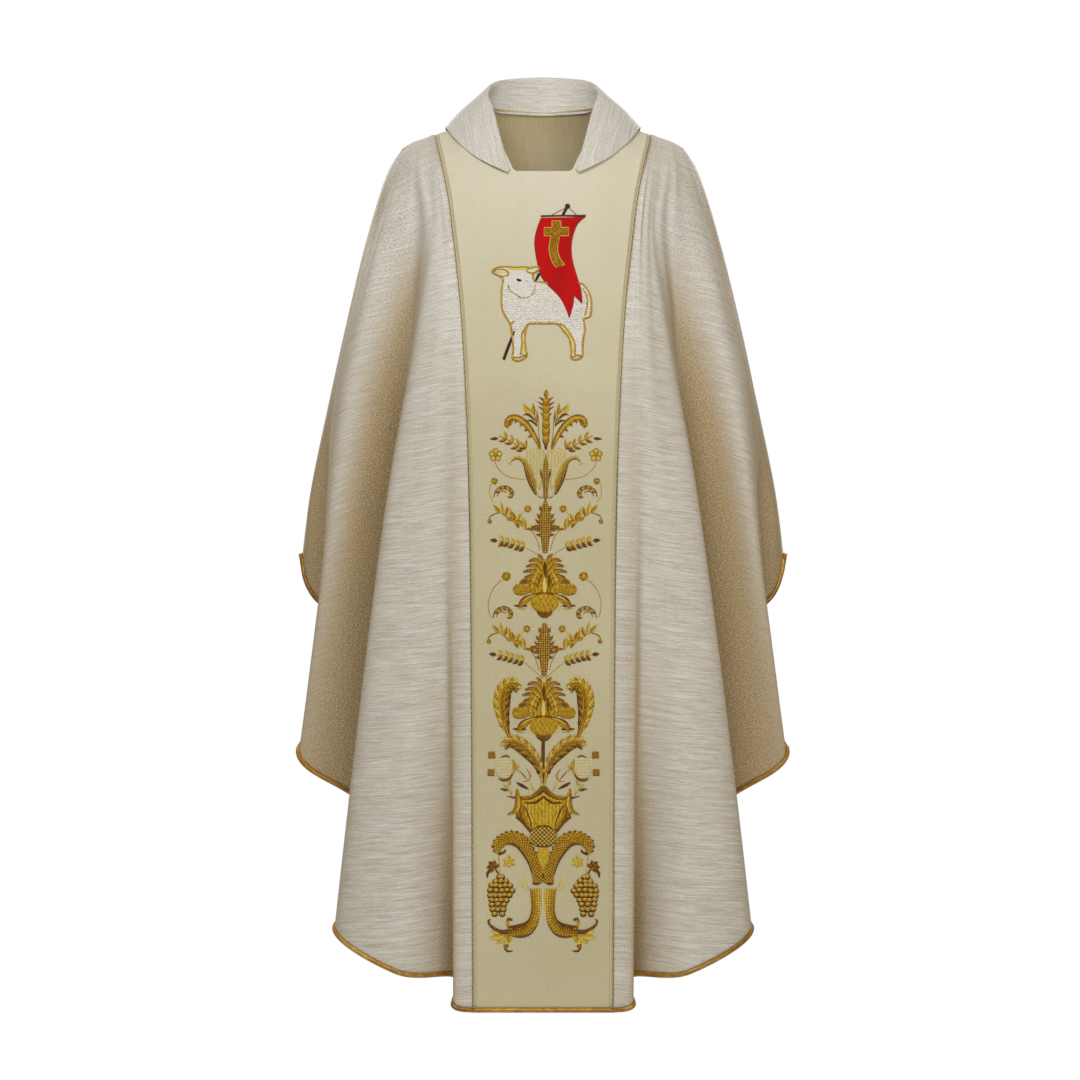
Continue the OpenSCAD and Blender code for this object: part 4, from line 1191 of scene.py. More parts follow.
def frond(st):
    spine = [(9, -473), (13, -462), (20, -449), (29, -437), (40, -428.5), (50, -426.5), (57, -431),
             (58, -438), (55, -441)]
    for _ in st.pair():
        st.ribbon(spine, [3.5, 6, 8, 9.5, 9.5, 8.5, 7, 5.5, 3], 1.5, 0.44, 0.18)
        st.ribbon(spine, [0.5, 1.2, 1.4, 1.4, 1.2, 0.8, 0.4], 0.5, 0.9, lift=1.3)
        for s in np.linspace(0.2, 0.8, 7):
            p, q = along(np.array(spine, float), [s, s + 0.03])
            a = heading(p, q)
            st.leaf(p, a - 52, 11.5 - 3 * s, 4.4, 0.3, -0.15, bend=-50, height=1.3)
            st.leaf(p, a + 30, 7, 3.6, 0.6, 0.1, height=1.3)


def tulip_flower(st):
    for _ in st.pair():
        st.field(smooth_loop([(2, -474), (14, -472), (27, -474), (31, -486), (26, -500), (18, -515),
                              (9, -534), (5, -520), (2, -500)]), 0.7, 0.78,
                 shade=lambda x, z: 0.74 + 0.14 * np.sin(x * 1.3))
        st.ribbon([(6, -542), (9.5, -525), (14, -506), (18, -488), (20, -476)], 1.1, 1.0, 0.95)
        st.ribbon([(14, -540), (20, -522), (25, -506), (30.5, -492.5), (39, -486), (47, -486.5), (52, -492)],
                  [3.5, 10, 12.5, 11, 8.5, 6.5, 6, 5, 2.5], 1.7, 0.38, -0.24, fade=0.2,
                  pattern=ribs(3.2, 0.25, 0.3))
        st.ribbon([(10, -543), (14.5, -530), (19, -513), (24, -499)], [1, 2.4, 2.6, 1], 1.5, 0.9)
        st.ribbon([(50, -489), (53.5, -493), (50, -496)], [2, 4, 3, 1], 1.6, 0.95)
        st.ribbon([(4.5, -521), (6.5, -510), (8, -499)], [1, 3, 0.6], 1.3, 0.05)
        st.ribbon([(3, -544), (7, -545), (11, -542)], 1.8, 1.5, 0.4)
    st.ribbon([(0, -544), (0, -525), (0, -508), (0, -495), (0, -481)], [6, 9, 10.5, 7, 1], 1.7, 0.26,
              pattern=chequer(3.4, 0.4, 0.45))
    st.ribbon([(0, -545), (0, -551)], [5, 2], 1.2, 0.2)


def branches(st):
    for _ in st.pair():
        st.sprig([(29, -474), (41, -469), (55, -460), (69, -454)], 1.6, 4, 12.5, 4.6, 0.62, 0.34, spread=50,
                 tip=False)
        st.leaf((70, -457.5), -4, 13, 4.2, 0.08, 0.05)
        st.leaf((30, -473), 96, 15, 3.6, 0.5)
        st.ribbon([(28, -471), (36, -472.5), (44, -476)], [1, 3.2, 0.5], 1.1, 0.1)


def ring_flower(st, x, z, r):
    """Five stitched rings round a dot."""
    turn = np.linspace(0, 2 * math.pi, 9)
    for k in range(5):
        a = math.pi / 2 + 2 * math.pi * k / 5
        cx, cz = x + r * 0.58 * math.cos(a), z + r * 0.58 * math.sin(a)
        st.ribbon(np.stack([cx + r * 0.4 * np.cos(turn), cz + r * 0.4 * np.sin(turn)], axis=-1), 1.3, 1.0,
                  0.42)
        st.dot(cx, cz, r * 0.3, 0.86, 0.6)
    st.dot(x, z, r * 0.26, 0.5, 1.3)


def dot_flower(st, x, z, r, tone):
    """Seven dots round a larger one."""
    for k in range(7):
        a = 2 * math.pi * k / 7
        st.dot(x + r * 0.62 * math.cos(a), z + r * 0.62 * math.sin(a), r * 0.36, tone - 0.12 * (k % 2), 1.1,
               sides=8)
    st.dot(x, z, r * 0.5, tone + 0.15, 1.5)


def rings(st):
    for _ in st.pair():
        ring_flower(st, 74, -482, 10)
        st.ribbon([(75, -491.5), (70, -502), (58, -512.5), (44, -516.5), (29, -518)], 1.1, 0.8, 0.5)
        dot_flower(st, 75.5, -520.5, 5.4, 0.5)
        st.ribbon([(80.5, -525), (82.5, -534), (81, -543), (77, -551)], 1.0, 0.7, 0.55)
        dot_flower(st, 57, -661, 7.4, 0.5)
        st.ribbon([(63.5, -666), (76, -679), (83, -698), (82.5, -712), (79, -722)], 1.1, 0.8, 0.45)


def fern(st, z):
    """Curled fern whose top is at height z."""
    arc = [(76, z - 15), (74, z - 6), (67, z), (59, z + 1.5), (51, z - 2), (47, z - 9), (49.5, z - 16)]
    st.ribbon(arc, 1.5, 1.1, 0.22)
    st.ribbon([(71, z - 14), (68, z - 8), (62, z - 6.5), (57, z - 9)], 1.3, 1.0, 0.3)
    path = np.array(arc, float)
    for k, s in enumerate(np.linspace(0.12, 0.97, 11)):
        p, q = along(path, [s, min(s + 0.03, 1)])
        a = heading(p, q)
        st.leaf(p, a + 62, 7.4, 2.8, 0.25 + 0.35 * (k % 2), bend=18)


def ferns(st):
    for _ in st.pair():
        for z in (-529, -707):
            fern(st, z)


GARLAND_LEAVES = [(64, -570, 84, 20, 5.6, 0.74, 0.16), (67, -568, 52, 16, 5, 0.56, 0.14),
                  (60, -572, 108, 15, 5.4, 0.5, 0.14), (53, -576, 92, 17, 5.6, 0.7, 0.15),
                  (45, -580, 76, 15, 5.4, 0.42, 0.15), (44, -580, 122, 15, 5.6, 0.66, 0.12),
                  (30, -592, 84, 19, 6.4, 0.66, 0.15), (57, -576, 186, 12, 5.6, 0.5, -0.1, 20),
                  (48, -579, 205, 12, 5.2, 0.62, -0.1, -20), (27, -591, 172, 18, 5.8, 0.3, -0.12, -16),
                  (44, -581, 238, 11, 4.4, 0.32, -0.12), (31, -586, 40, 13, 5.4, 0.5, 0.12),
                  (24, -592, 120, 9, 4.6, 0.8, 0.1)]


def moved(points, up):
    return [(x, z + up) for x, z in points]


def garland(st, drop):
    """Bent twig with leaves, drawn at the upper garland's place and moved by drop."""
    for _ in st.pair():
        st.ribbon(moved([(67, -565), (54, -576), (41, -581), (29, -591), (21, -592)], drop), 1.6, 0.8, 0.35)
        for x, z, *rest in GARLAND_LEAVES:
            st.leaf((x, z + drop), *rest)
        st.ribbon(moved([(66, -567), (75, -569), (81.5, -573), (83, -578)], drop), [1, 1.8, 2, 1.2], 0.9,
                  0.35)
        st.dot(82, -580 + drop, 3.6, 0.45, 1.4)
        dot_flower(st, 26, -561.5 + drop, 5.8, 0.52)
        st.ribbon(moved([(32, -565), (34.5, -571), (34, -579)], drop), 0.9, 0.6, 0.6)
        st.ribbon(moved([(21, -593), (14.5, -602), (10.5, -612), (8, -622)], drop), 1.1, 0.8, 0.4)


def garlands(st):
    garland(st, 0)
    garland(st, -177)


def cone(st, top, bottom):
    """Spindle of small scales with barbs at its widest."""
    tall = top - bottom
    st.ribbon([(0, bottom), (0, bottom + tall / 2), (0, top)], [7, 10, 12, 17.5, 19, 15, 11, 5], 1.7, 0.46,
              pattern=chequer(3.4, 0.6, 0.7))
    for share, reach, angle in ((0.18, 11.5, 52), (0.27, 8, 40), (0.33, 14, 34), (0.42, 15, 24),
                                (0.48, 13, 8), (0.52, 19, -2), (0.6, 11, -20)):
        for _ in st.pair():
            z = top - tall * share
            st.leaf((3.5, z - 2), angle, reach, 4.2, 0.36, 0.12, bend=26)


def sprays(st):
    for _ in st.pair():
        for drop, stalk in ((0, [(13, -628), (22, -622), (32, -617.5)]),
                            (-168, [(1.5, -812), (16, -799), (32, -785.5)])):
            st.ribbon(stalk, 1.1, 0.8, 0.55)
            st.sprig([(31, -618 + drop), (44, -614.5 + drop), (58, -610.5 + drop), (72, -608.5 + drop)], 1.1,
                     5, 10.5, 5.6, 0.74, 0.2, spread=56, start=0.02)


PALMETTE_HEART = [(0, -8), (14, -20), (24, -36), (25, -54), (14, -62), (0, -64), (-14, -62), (-25, -54),
                  (-24, -36), (-14, -20)]
PALMETTE_CUP = [(-19, -64), (0, -60), (19, -64), (20.5, -74), (14, -84), (0, -88), (-14, -84), (-20.5, -74)]


def palmette(st, top):
    """Feathered palmette: curled petals, a cup with checkered lobes, and a foot."""
    st.field(smooth_loop(moved(PALMETTE_HEART, top)), 0.9, 0.5,
             shade=lambda x, z: 0.5 + 0.16 * np.sin(np.abs(x) * 1.1))
    for _ in st.pair():
        st.leaf((3, top - 10), 48, 13, 6, 0.4, 0.15)
        for k, (reach, below) in enumerate(((24, 9), (28, 17), (32, 25), (30, 33), (35, 42))):
            z = top - below
            st.ribbon([(3 + 1.6 * k, z - 15), (8 + 1.4 * k, z - 6), (reach * 0.62, z - 0.5),
                       (reach, z - 2.5)], [2.5, 6.2, 6.4, 5.4, 2.2], 1.6, 0.46, 0.24, fade=-0.22)
        st.ribbon(moved([(5, -30), (9, -42), (14, -56)], top), [2, 3, 1.4], 1.8, 0.12)
        st.ribbon(moved([(9, -24), (16, -38), (20, -52)], top), [2, 2.6, 1.4], 1.7, 0.9)
        st.ribbon(moved([(20, -52), (30, -54), (38, -53.5), (46, -56)], top), [6, 13, 17, 17, 9], 1.5, 0.42,
                  pattern=lattice(3.6, 0.5, 0.6))
        st.ribbon(moved([(22, -44), (28, -39), (35, -42), (37, -47)], top), [2, 4.4, 4, 1], 1.6, 0.3)
        st.ribbon(moved([(12, -62), (24, -66), (33, -73), (37, -80)], top), [4, 8, 11, 9, 3.5], 1.7, 0.4,
                  0.25)
        st.ribbon(moved([(13, -61), (24, -65), (33, -71)], top), [1, 1.8, 1], 0.6, 0.95, lift=1.5)
        st.ribbon(moved([(26, -77.5), (36, -77.5), (46, -77)], top), [2, 3.6, 3.4, 1], 1.1, 0.06)
        st.ribbon(moved([(27, -81.5), (34, -82), (42, -80.5)], top), [1, 2.2, 1], 0.9, 0.75)
        st.ribbon(moved([(20, -68), (22.5, -76), (20, -84)], top), [1.5, 3, 1], 1.1, 0.95)
    st.field(smooth_loop(moved(PALMETTE_CUP, top)), 2.0, 0.6,
             shade=lambda x, z: 0.56 + 0.14 * np.sin(x * 0.9) * np.cos(z * 0.5), edge=5)
    st.ribbon(moved([(-11, -86), (0, -91), (11, -86)], top), [3, 7.5, 9, 7.5, 3], 1.8, 0.16,
              pattern=bars(3, 0.3, 0.3))
    st.ribbon(moved([(0, -12), (0, -24), (1.5, -36)], top), [1.5, 4.6, 4.2, 2], 2.0, 0.02)
    st.ribbon(moved([(5.5, -30), (6, -44), (8, -58)], top), [1.5, 3, 1.2], 2.0, 0.1)
    st.ribbon(moved([(-0.5, -35), (-0.5, -46), (-0.5, -58)], top), [1, 5, 6.4, 4], 2.1, 1.15)
    st.ribbon(moved([(-20, -62.5), (0, -58), (20, -62.5)], top), [1, 3, 3.4, 3, 1], 1.7, 0.2)


def feathered(st, spine, widths, tone, lean, barb, count):
    """Acanthus leaf: a speckled body with barbs along both edges."""
    path = np.asarray(spine, float)
    st.ribbon(spine, widths, 1.5, tone, lean, pattern=ribs(3.4, 0.4, 0.5))
    for k, s in enumerate(np.linspace(0.12, 0.95, count)):
        p, q = along(path, [s, min(s + 0.02, 1)])
        w = float(along(np.asarray(widths, float), s)) / 2
        a = heading(p, q)
        for turn, shade in ((1, tone - lean), (-1, tone + lean)):
            normal = math.radians(a + 90 * turn)
            foot = (p[0] + 0.35 * w * math.cos(normal), p[1] + 0.35 * w * math.sin(normal))
            st.leaf(foot, a + turn * 34, barb + 0.6 * w, 5.0, shade + 0.3 * (k % 2) - 0.12, 0.14 * turn,
                    height=1.8)
    st.ribbon(spine, [0.4, 1.0, 1.0, 0.8, 0.4], 0.5, 0.2, lift=1.5)


def plumes(st):
    for _ in st.pair():
        feathered(st, [(51, -897), (57, -880), (60.5, -865), (62, -849), (60, -834), (54, -823.5),
                       (45.5, -820), (39, -826)], [4, 13, 20, 25, 24, 18, 10, 4], 0.42, 0.22, 7, 16)
        st.ribbon([(46, -819), (40.5, -820.5), (37.5, -826), (39.5, -829)], [3, 4.5, 3.4, 1.5], 1.7, 0.1)


def stem(st):
    st.ribbon([(-0.6, -902), (-0.8, -925), (-0.4, -948), (0, -966)], [4.6, 5.2, 5, 4, 3], 1.6, 0.14)
    for _ in st.pair():
        feathered(st, [(1.5, -966), (5, -946), (14.5, -929), (27, -915.5), (39, -907), (50, -904.5),
                       (57, -910)], [3, 10, 18, 22, 19, 12, 4], 0.52, -0.24, 6.5, 14)
        st.ribbon([(1.5, -971), (2.5, -960), (5.5, -950)], [3, 4.4, 2], 1.6, 0.85)
        st.ribbon([(25, -945), (19.5, -954), (22, -962), (30, -963.5)], [1, 2.2, 2, 1], 1.1, 0.6)
        st.ribbon([(35, -948), (29, -955), (24, -961)], [0.8, 1.8, 1], 1.0, 0.35)
        st.ribbon([(40, -965), (31, -970), (21.5, -975)], [1, 4.4, 4, 1], 1.2, 0.08)
        st.ribbon([(19, -966), (15.5, -974), (11.5, -981)], [1, 3, 2.4, 1], 1.0, 0.9)


def thistle(st):
    for _ in st.pair():
        st.field(smooth_loop([(45, -932), (49, -927), (60, -926), (71, -928), (72, -940), (70, -952),
                              (62, -959), (52, -959), (46, -951), (44, -941)]), 1.3, 0.86,
                 shade=lambda x, z: 0.84 + 0.2 * np.sin(z * 1.45), grain=1.4)
        st.ribbon([(47, -930), (55, -926), (63, -928), (71, -928)], [1, 3.2, 2.2, 1], 1.7, 0.12)
        st.ribbon([(44, -949), (50, -959), (59, -962), (67, -959)], [1, 3.2, 3.4, 1], 1.7, 0.05)
        st.ribbon([(46, -931), (43, -941), (46, -952)], [2, 6, 7, 2.5], 1.6, 0.42, pattern=bars(3.4))
        st.leaf((44, -941), 178, 10, 4.4, 0.6)
        st.ribbon([(36, -939), (38.5, -944), (36, -950)], [1, 2.2, 1], 1.1, 0.5)
        for x, z in ((76.5, -924.5), (77.5, -950.5)):
            st.ribbon([(x - 4.8, z), (x, z), (x + 4.8, z)], 10, 1.6, 0.2, pattern=chequer(3, 0.4, 0.4))
        st.leaf((47, -981), 66, 15, 5.4, 0.85)
        st.ribbon([(46, -984), (52, -973), (60, -968)], [1, 3.6, 4, 1.2], 1.1, 0.55)
        st.leaf((53, -970), 118, 10, 4.6, 0.5)
        st.leaf((52, -977), 12, 13, 3.8, 0.05)


def crown(st):
    """Fan of ribs over a dark border, with pointed wings."""
    def shade(x, z):
        middle = np.abs(x) < 24 + (z + 1031) * 0.2
        return np.where(middle, 0.62, 0.28) + 0.18 * np.cos(x * 1.2)
    st.field([(-37, -990), (-20, -990), (0, -982), (20, -990), (37, -990), (41, -1006), (40, -1016),
              (28, -1026), (18, -1037), (0, -1031), (-18, -1037), (-28, -1026), (-40, -1016), (-41, -1006)],
             0.8, 0.6, shade=shade)
    for x in (-6.5, -2, 2.5, 7):
        st.ribbon([(x * 0.85, -1031), (x * 1.2, -1010), (x * 1.6, -992)], 1.5, 1.2, 0.62)
    for _ in st.pair():
        st.ribbon([(0, -972), (7, -980), (19, -987), (33, -987.5)], [8, 8.5, 6.5, 6, 5], 1.8, 0.3, -0.1,
                  fade=0.1)
        st.ribbon([(30, -987), (42, -987.5), (54, -985)], [3.5, 2.8, 1], 1.4, 0.1)
        st.ribbon([(0, -985.5), (6, -991), (14, -995), (27, -995)], [2.4, 3.4, 3.6, 2], 1.9, 0.08)
        st.ribbon([(39, -974), (38, -986), (38, -998), (42, -1007), (53, -1012.5)], [2, 6, 8, 9, 8, 5, 1.5],
                  1.7, 0.46, 0.2)
        st.ribbon([(37.5, -985), (35.5, -998), (40, -1010)], [1, 1.8, 1], 0.7, 0.9, lift=1.5)
        st.ribbon([(29, -998), (23.5, -1010), (19, -1022), (16.5, -1036)], [1.6, 2.6, 2.2, 1.6], 1.5, 0.06)
        st.ribbon([(33, -1000), (30, -1012), (22, -1026), (18, -1035)], [2, 4, 3.6, 2], 1.4, 0.5)
        st.ribbon([(41, -1016), (30, -1024), (19.5, -1038)], [1.6, 3.6, 4, 2.6], 1.7, 0.14)
        st.ribbon([(25, -1000), (19, -1016), (14.5, -1031)], [1.2, 2, 1.2], 1.2, 1.1)
        st.ribbon([(21, -999), (16, -1014), (12.5, -1031)], [1.2, 2, 1.2], 1.2, 0.5)


def ball(st):
    st.ribbon([(-20, -1045), (0, -1045), (20, -1045)], [8, 22, 28, 30.5, 31, 30.5, 28, 22, 8], 2.2, 0.38,
              pattern=lattice(6.2, 0.5, 1.1))
    st.ribbon([(-18, -1037), (-9, -1030.5), (0, -1029), (9, -1030.5), (18, -1037)], 1.8, 2.0, 0.05)
    st.ribbon([(-10, -1058), (0, -1060.5), (10, -1058)], 2.4, 2.0, 0.05)
    for _ in st.pair():
        st.ribbon([(26, -1042), (21, -1048), (16.5, -1054)], [1, 3.2, 2], 1.4, 0.8)


HORN = [(7.8, -1113), (8.8, -1098), (15.5, -1079), (23.5, -1064), (34, -1051), (47, -1046.5), (59, -1050),
        (67, -1058.5), (67, -1069)]
HORN_WIDE = [15, 16.5, 16, 18.5, 20, 19, 17, 16, 7]


def horns(st):
    path, wide = np.array(HORN, float), np.array(HORN_WIDE, float)
    for _ in st.pair():
        st.ribbon(HORN, HORN_WIDE, 1.9, 0.32, pattern=lattice(5.0, 0.5, 0.75))
        for s in np.linspace(0.3, 0.95, 13):
            st.dot(*edge_point(path, wide, s, 1), 2.1, 0.22, 1.6, sides=8)
        inner = [edge_point(path, wide, s, -1, 0.3) for s in np.linspace(0.12, 0.74, 9)]
        st.ribbon(inner, [1.4, 2.4, 2.8, 2.8, 1.4], 2.2, 0.03)
        st.ribbon([(66, -1071), (60, -1069), (56, -1066), (57, -1063.5)], [3.5, 3.5, 2.6, 1], 1.7, 0.06)
        st.ribbon([(16, -1113.5), (9, -1114.5), (1.5, -1111.5)], [1.2, 3, 2.6, 1.4], 2.2, 0.02)
        st.ribbon([(3, -1112), (7, -1104), (13, -1100)], [3, 5, 3], 2.1, 0.1)
        st.ribbon([(22, -1125), (30, -1118), (30.5, -1108), (25, -1098)], [1.2, 2.6, 2.4, 1], 0.8, 0.92)
        st.ribbon([(19, -1122), (24.5, -1116), (25, -1108)], [1.2, 2.2, 1], 0.8, 0.86)
    st.field(smooth_loop([(0, -1059), (7, -1062), (9, -1072), (6, -1085), (0, -1096), (-6, -1085),
                          (-9, -1072), (-7, -1062)]), 2.2, 0.7,
             shade=lambda x, z: 0.68 + 0.12 * np.sin(2 * x))
    st.ribbon([(-4, -1110), (0, -1101), (4, -1110)], [1, 2.4, 1], 2.0, 0.05)


GRAPE_APART = 7.6


def grapes(st):
    rows = [(-1104, -65, -61), (-1110.5, -70, -55), (-1117, -76, -49), (-1124, -78, -45), (-1131, -77, -50),
            (-1138, -76, -54), (-1145, -76, -57), (-1152, -74, -58), (-1159, -71, -60)]
    for _ in st.pair():
        st.ribbon([(66, -1074), (64.5, -1088), (63.5, -1102)], 1.6, 1.0, 0.75)
        for z, far, near in rows:
            for x in np.linspace(far, near, int(round((near - far) / GRAPE_APART)) + 1):
                cx, cz = -x + st.rng.uniform(-0.6, 0.6), z + st.rng.uniform(-0.6, 0.6)
                st.dot(cx, cz - 0.6, 5.4, 0.2, 1.2, squash=0.86, sides=10)
                st.dot(cx + 0.3, cz + 0.3, 4.8, 0.74, 2.1, squash=0.7, sides=12, rim=-0.7)
                st.ribbon([(cx - 3, cz + 0.2), (cx - 0.5, cz + 1.9), (cx + 2.6, cz + 0.8)], [0.6, 2.4, 0.6],
                          0.6, 1.0, lift=1.5)


def vines(st):
    for _ in st.pair():
        for k, angle in enumerate((20, 85, 150, 205, 262, 320)):
            st.leaf((50.5, -1082), angle, 9.5 + 1.5 * (k % 2), 6, 0.74, 0.12, height=1.2)
        for k, angle in enumerate((-10, 50, 105, 165, 292)):
            st.leaf((74, -1089), angle, 10, 7, 0.18, 0.12, height=1.2)
        st.ribbon([(77, -1092), (82, -1099), (82.5, -1106)], [3, 4.5, 1], 1.2, 0.08)
        st.ribbon([(71, -1092), (67, -1098), (66, -1102)], [2, 3, 1], 1.1, 0.2)


LEG = [(11, -1122), (9.8, -1142), (10.8, -1157), (15.5, -1171), (25.5, -1181), (39, -1185), (51.5, -1185.5)]
LEG_WIDE = [17, 16, 14.5, 14.5, 15.5, 16, 15.5, 9]


def legs(st):
    for _ in st.pair():
        st.ribbon(LEG, LEG_WIDE, 1.8, 0.4, 0.24, fade=-0.16, pattern=chequer(3.6, 0.4, 0.5))
        st.ribbon([(18, -1166), (27, -1174), (40, -1178), (52, -1178)], [1.5, 5, 6, 2], 2.1, 0.08)
        st.ribbon([(5, -1163), (9, -1176), (18, -1188), (30, -1192.5), (44, -1192)], [0.8, 1.6, 2.2, 3, 1.4],
                  2.0, 0.12)
        st.ribbon([(4, -1130), (3.4, -1146), (4.5, -1160)], [1, 1.8, 1], 1.9, 0.9)
        st.ribbon([(50, -1185), (60, -1185.5), (70, -1181.5), (78, -1175), (80, -1169), (76.5, -1167)],
                  [8, 6.5, 5, 3.6, 3, 1], 1.6, 0.14, pattern=bars(3, 0.3, 0.3))
        st.ribbon([(46, -1181), (51, -1176), (52.5, -1171), (48, -1167)], [4, 4.6, 4, 1.6], 1.7, 0.62)
        st.ribbon([(53, -1173), (51, -1166.5), (45, -1168)], [1.4, 4, 2.5], 1.8, 0.12)


def flourish(st):
    for _ in st.pair():
        st.leaf((56, -1193), -2, 23, 9, 0.8, 0.15)
        st.leaf((52, -1191), -38, 20, 8.5, 0.74, 0.15)
        st.leaf((46, -1189), -62, 17, 8, 0.55, 0.15)
        st.leaf((52, -1196), -78, 14, 6.5, 0.85, 0.1)
        st.dot(54, -1206, 4.2, 0.4, 1.4)
        st.ribbon([(57, -1209.5), (51, -1214), (43, -1213)], [1, 2.8, 2.4, 0.6], 1.2, 0.06)
        st.leaf((64, -1188), 20, 14, 5.5, 0.85)

def upper_cone(st):
    cone(st, -551, -626)


def lower_cone(st):
    cone(st, -730, -808)


def upper_palmette(st):
    palmette(st, -627)


def lower_palmette(st):
    palmette(st, -809)


def column_pieces(gold, dark, pale):
    motifs = [("wheat_finial", gold, wheat), ("acanthus_fronds", gold, frond), ("tulip", pale, tulip_flower),
              ("side_branches", gold, branches), ("ring_flowers", gold, rings), ("curled_ferns", gold, ferns),
              ("garlands", gold, garlands), ("cone_upper", dark, upper_cone), ("leaf_sprays", gold, sprays),
              ("palmette_upper", gold, upper_palmette), ("cone_lower", dark, lower_cone),
              ("palmette_lower", gold, lower_palmette), ("acanthus_plumes", gold, plumes),
              ("stem_leaves", dark, stem), ("thistles", pale, thistle), ("crown_fan", gold, crown),
              ("checkered_ball", dark, ball), ("horn_scrolls", gold, horns), ("grape_clusters", dark, grapes),
              ("vine_leaves", gold, vines), ("scroll_legs", gold, legs), ("base_leaves", gold, flourish)]
    for node, material, shape in motifs:
        st = Stitch()
        shape(st)
        st.piece(node + "_stitches", material, node)
    backs = [("back_column_top", [wheat, frond, tulip_flower, branches, rings, ferns]),
             ("back_column_middle", [garlands, sprays, upper_cone, upper_palmette, lower_cone, lower_palmette,
                                     plumes, thistle]),
             ("back_column_foot", [stem, crown, ball, horns, grapes, vines, legs, flourish])]
    for node, shapes in backs:
        st = Stitch(back=True)
        for shape in shapes:
            shape(st)
        st.piece(node + "_stitches", gold, node)


# ---- trim ----
GALLOON_PITCH = 9.0
CORD_R = 0.52
# a strand's middle runs round the cord's at this share of its own radius
STRAND_ROUND = 0.8
# the cord stands beside the seam, above the cloth
CORD_OUT = 1.1
CORD_ASIDE = 0.6
STRAND_SIDES = 6
STRAND_STEPS = 10
# the flat braid inside the cord
BRAID_ASIDE = 4.6
BRAID_OUT = 0.1
BRAID_WIDE = 3.4
BRAID_THICK = 1.0
BAND = np.array([-1, -1, -0.55, 0, 0.55, 1, 1])
BAND_UP = np.array([-0.3, 0.4, 0.9, 1, 0.9, 0.4, -0.3])
GALLOON_ROWS = 260


def strand(path, up, phase, tone):
    """One strand of a twisted cord along a path, as verts, faces, uv and tone."""
    reach = reach_along(path)
    n = int(reach[-1] / GALLOON_PITCH * STRAND_STEPS)
    where = np.linspace(0, reach[-1], n)
    line = np.stack([np.interp(where, reach, path[:, k]) for k in range(3)], axis=-1)
    side, top = across_path(line, up)
    a = 2 * math.pi * where / GALLOON_PITCH + phase
    middle = line + CORD_R * STRAND_ROUND * (np.cos(a)[:, None] * side + np.sin(a)[:, None] * top)
    turn = 2 * math.pi * np.arange(STRAND_SIDES) / STRAND_SIDES
    ring = side[:, None] * np.cos(turn)[None, :, None] + top[:, None] * np.sin(turn)[None, :, None]
    verts = (middle[:, None] + ring * CORD_R).reshape(-1, 3)
    return verts, tube_faces(n, STRAND_SIDES), tube_uv(where, turn * CORD_R) * MM, np.full(len(verts), tone)


def band(path, up, wide, thick, tone):
    """Flat raised band along a path, as verts, faces, uv and tone."""
    side, top = across_path(path, up)
    verts = (path[:, None] + side[:, None] * BAND[None, :, None] * wide / 2
             + top[:, None] * BAND_UP[None, :, None] * thick).reshape(-1, 3)
    uv = tube_uv(reach_along(path), BAND * wide / 2) * MM
    return verts, tube_faces(len(path), len(BAND)), uv, np.full(len(verts), tone)


def joined(name, parts, material):
    verts, faces, uvs, tones, count = [], [], [], [], 0
    for v, f, uv, tone in parts:
        verts.append(v)
        faces += [[k + count for k in corners] for corners in f]
        uvs.append(uv)
        tones.append(tone)
        count += len(v)
    obj = new_object(name, np.concatenate(verts), faces, np.concatenate(uvs), material)
    point_values(obj, "tone", np.concatenate(tones))
    return obj


def galloons(material):
    for back in (False, True):
        grid = strip_surface(back, rows=GALLOON_ROWS)[0]
        normal = grid_normals(grid) * outward(back)
        rows = slice(2, -1)
        for side, column, word in ((-1, 0, "left"), (1, -1, "right")):
            edge, out = grid[rows, column], normal[rows, column]
            inner = edge - [side * BRAID_ASIDE, 0, 0]
            inner = np.stack([inner[:, 0], cloth_y(inner[:, 0], inner[:, 2], back), inner[:, 2]], axis=-1)
            up = out.mean(axis=0)
            cord_line = edge + out * CORD_OUT - np.array([side * CORD_ASIDE, 0, 0])
            parts = [strand(cord_line, up, 0, 0.1), strand(cord_line, up, math.pi, 0.6),
                     band(inner + out * BRAID_OUT, up, BRAID_WIDE, BRAID_THICK, 1.0)]
            name = f"galloon_{face(back)}_{word}"
            keep(joined(name + "_braid", parts, material), name)


FACING_HALF = 46
FACING_TALL = 30
FACING_IN = 3.2
FACING_T = 0.7
FACING_GRID = (60, 10)
TAPE_FROM = 96
TAPE_TO = 204
TAPE_POINTS = 40
TAPE_WIDE = 10
TAPE_THICK = 1.0
TAPE_IN = 8
TAPE_SIDES = 16


def facing(material):
    """Turned edge of the straight front neckline, on the inside."""
    columns, rows = FACING_GRID
    x, z = np.meshgrid(np.linspace(-FACING_HALF, FACING_HALF, columns),
                       NECKLINE_Z - 1 - np.linspace(0, FACING_TALL, rows))
    grid = np.stack([x, cloth_y(x, z, False), z], axis=-1)
    flat = np.stack([x, z], axis=-1) * MM
    obj = shell_object("neckline_facing_strip", grid, flat, FACING_IN, FACING_IN + FACING_T, material)
    keep(obj, "neckline_facing")
    hang(flat)


def tapes(material):
    """Stay tapes inside the shoulder seams."""
    for side, word in ((-1, "left"), (1, "right")):
        x = np.linspace(TAPE_FROM, TAPE_TO, TAPE_POINTS)
        path = np.stack([side * x, 0 * x, ridge_height(x, False) - TAPE_IN], axis=-1)
        obj = tube_object(f"shoulder_tape_{word}_band", path, TAPE_WIDE, TAPE_THICK, (0, 0, 1), material,
                          TAPE_SIDES)
        keep(obj, f"shoulder_tape_{word}")
        length = float(reach_along(path)[-1]) * MM


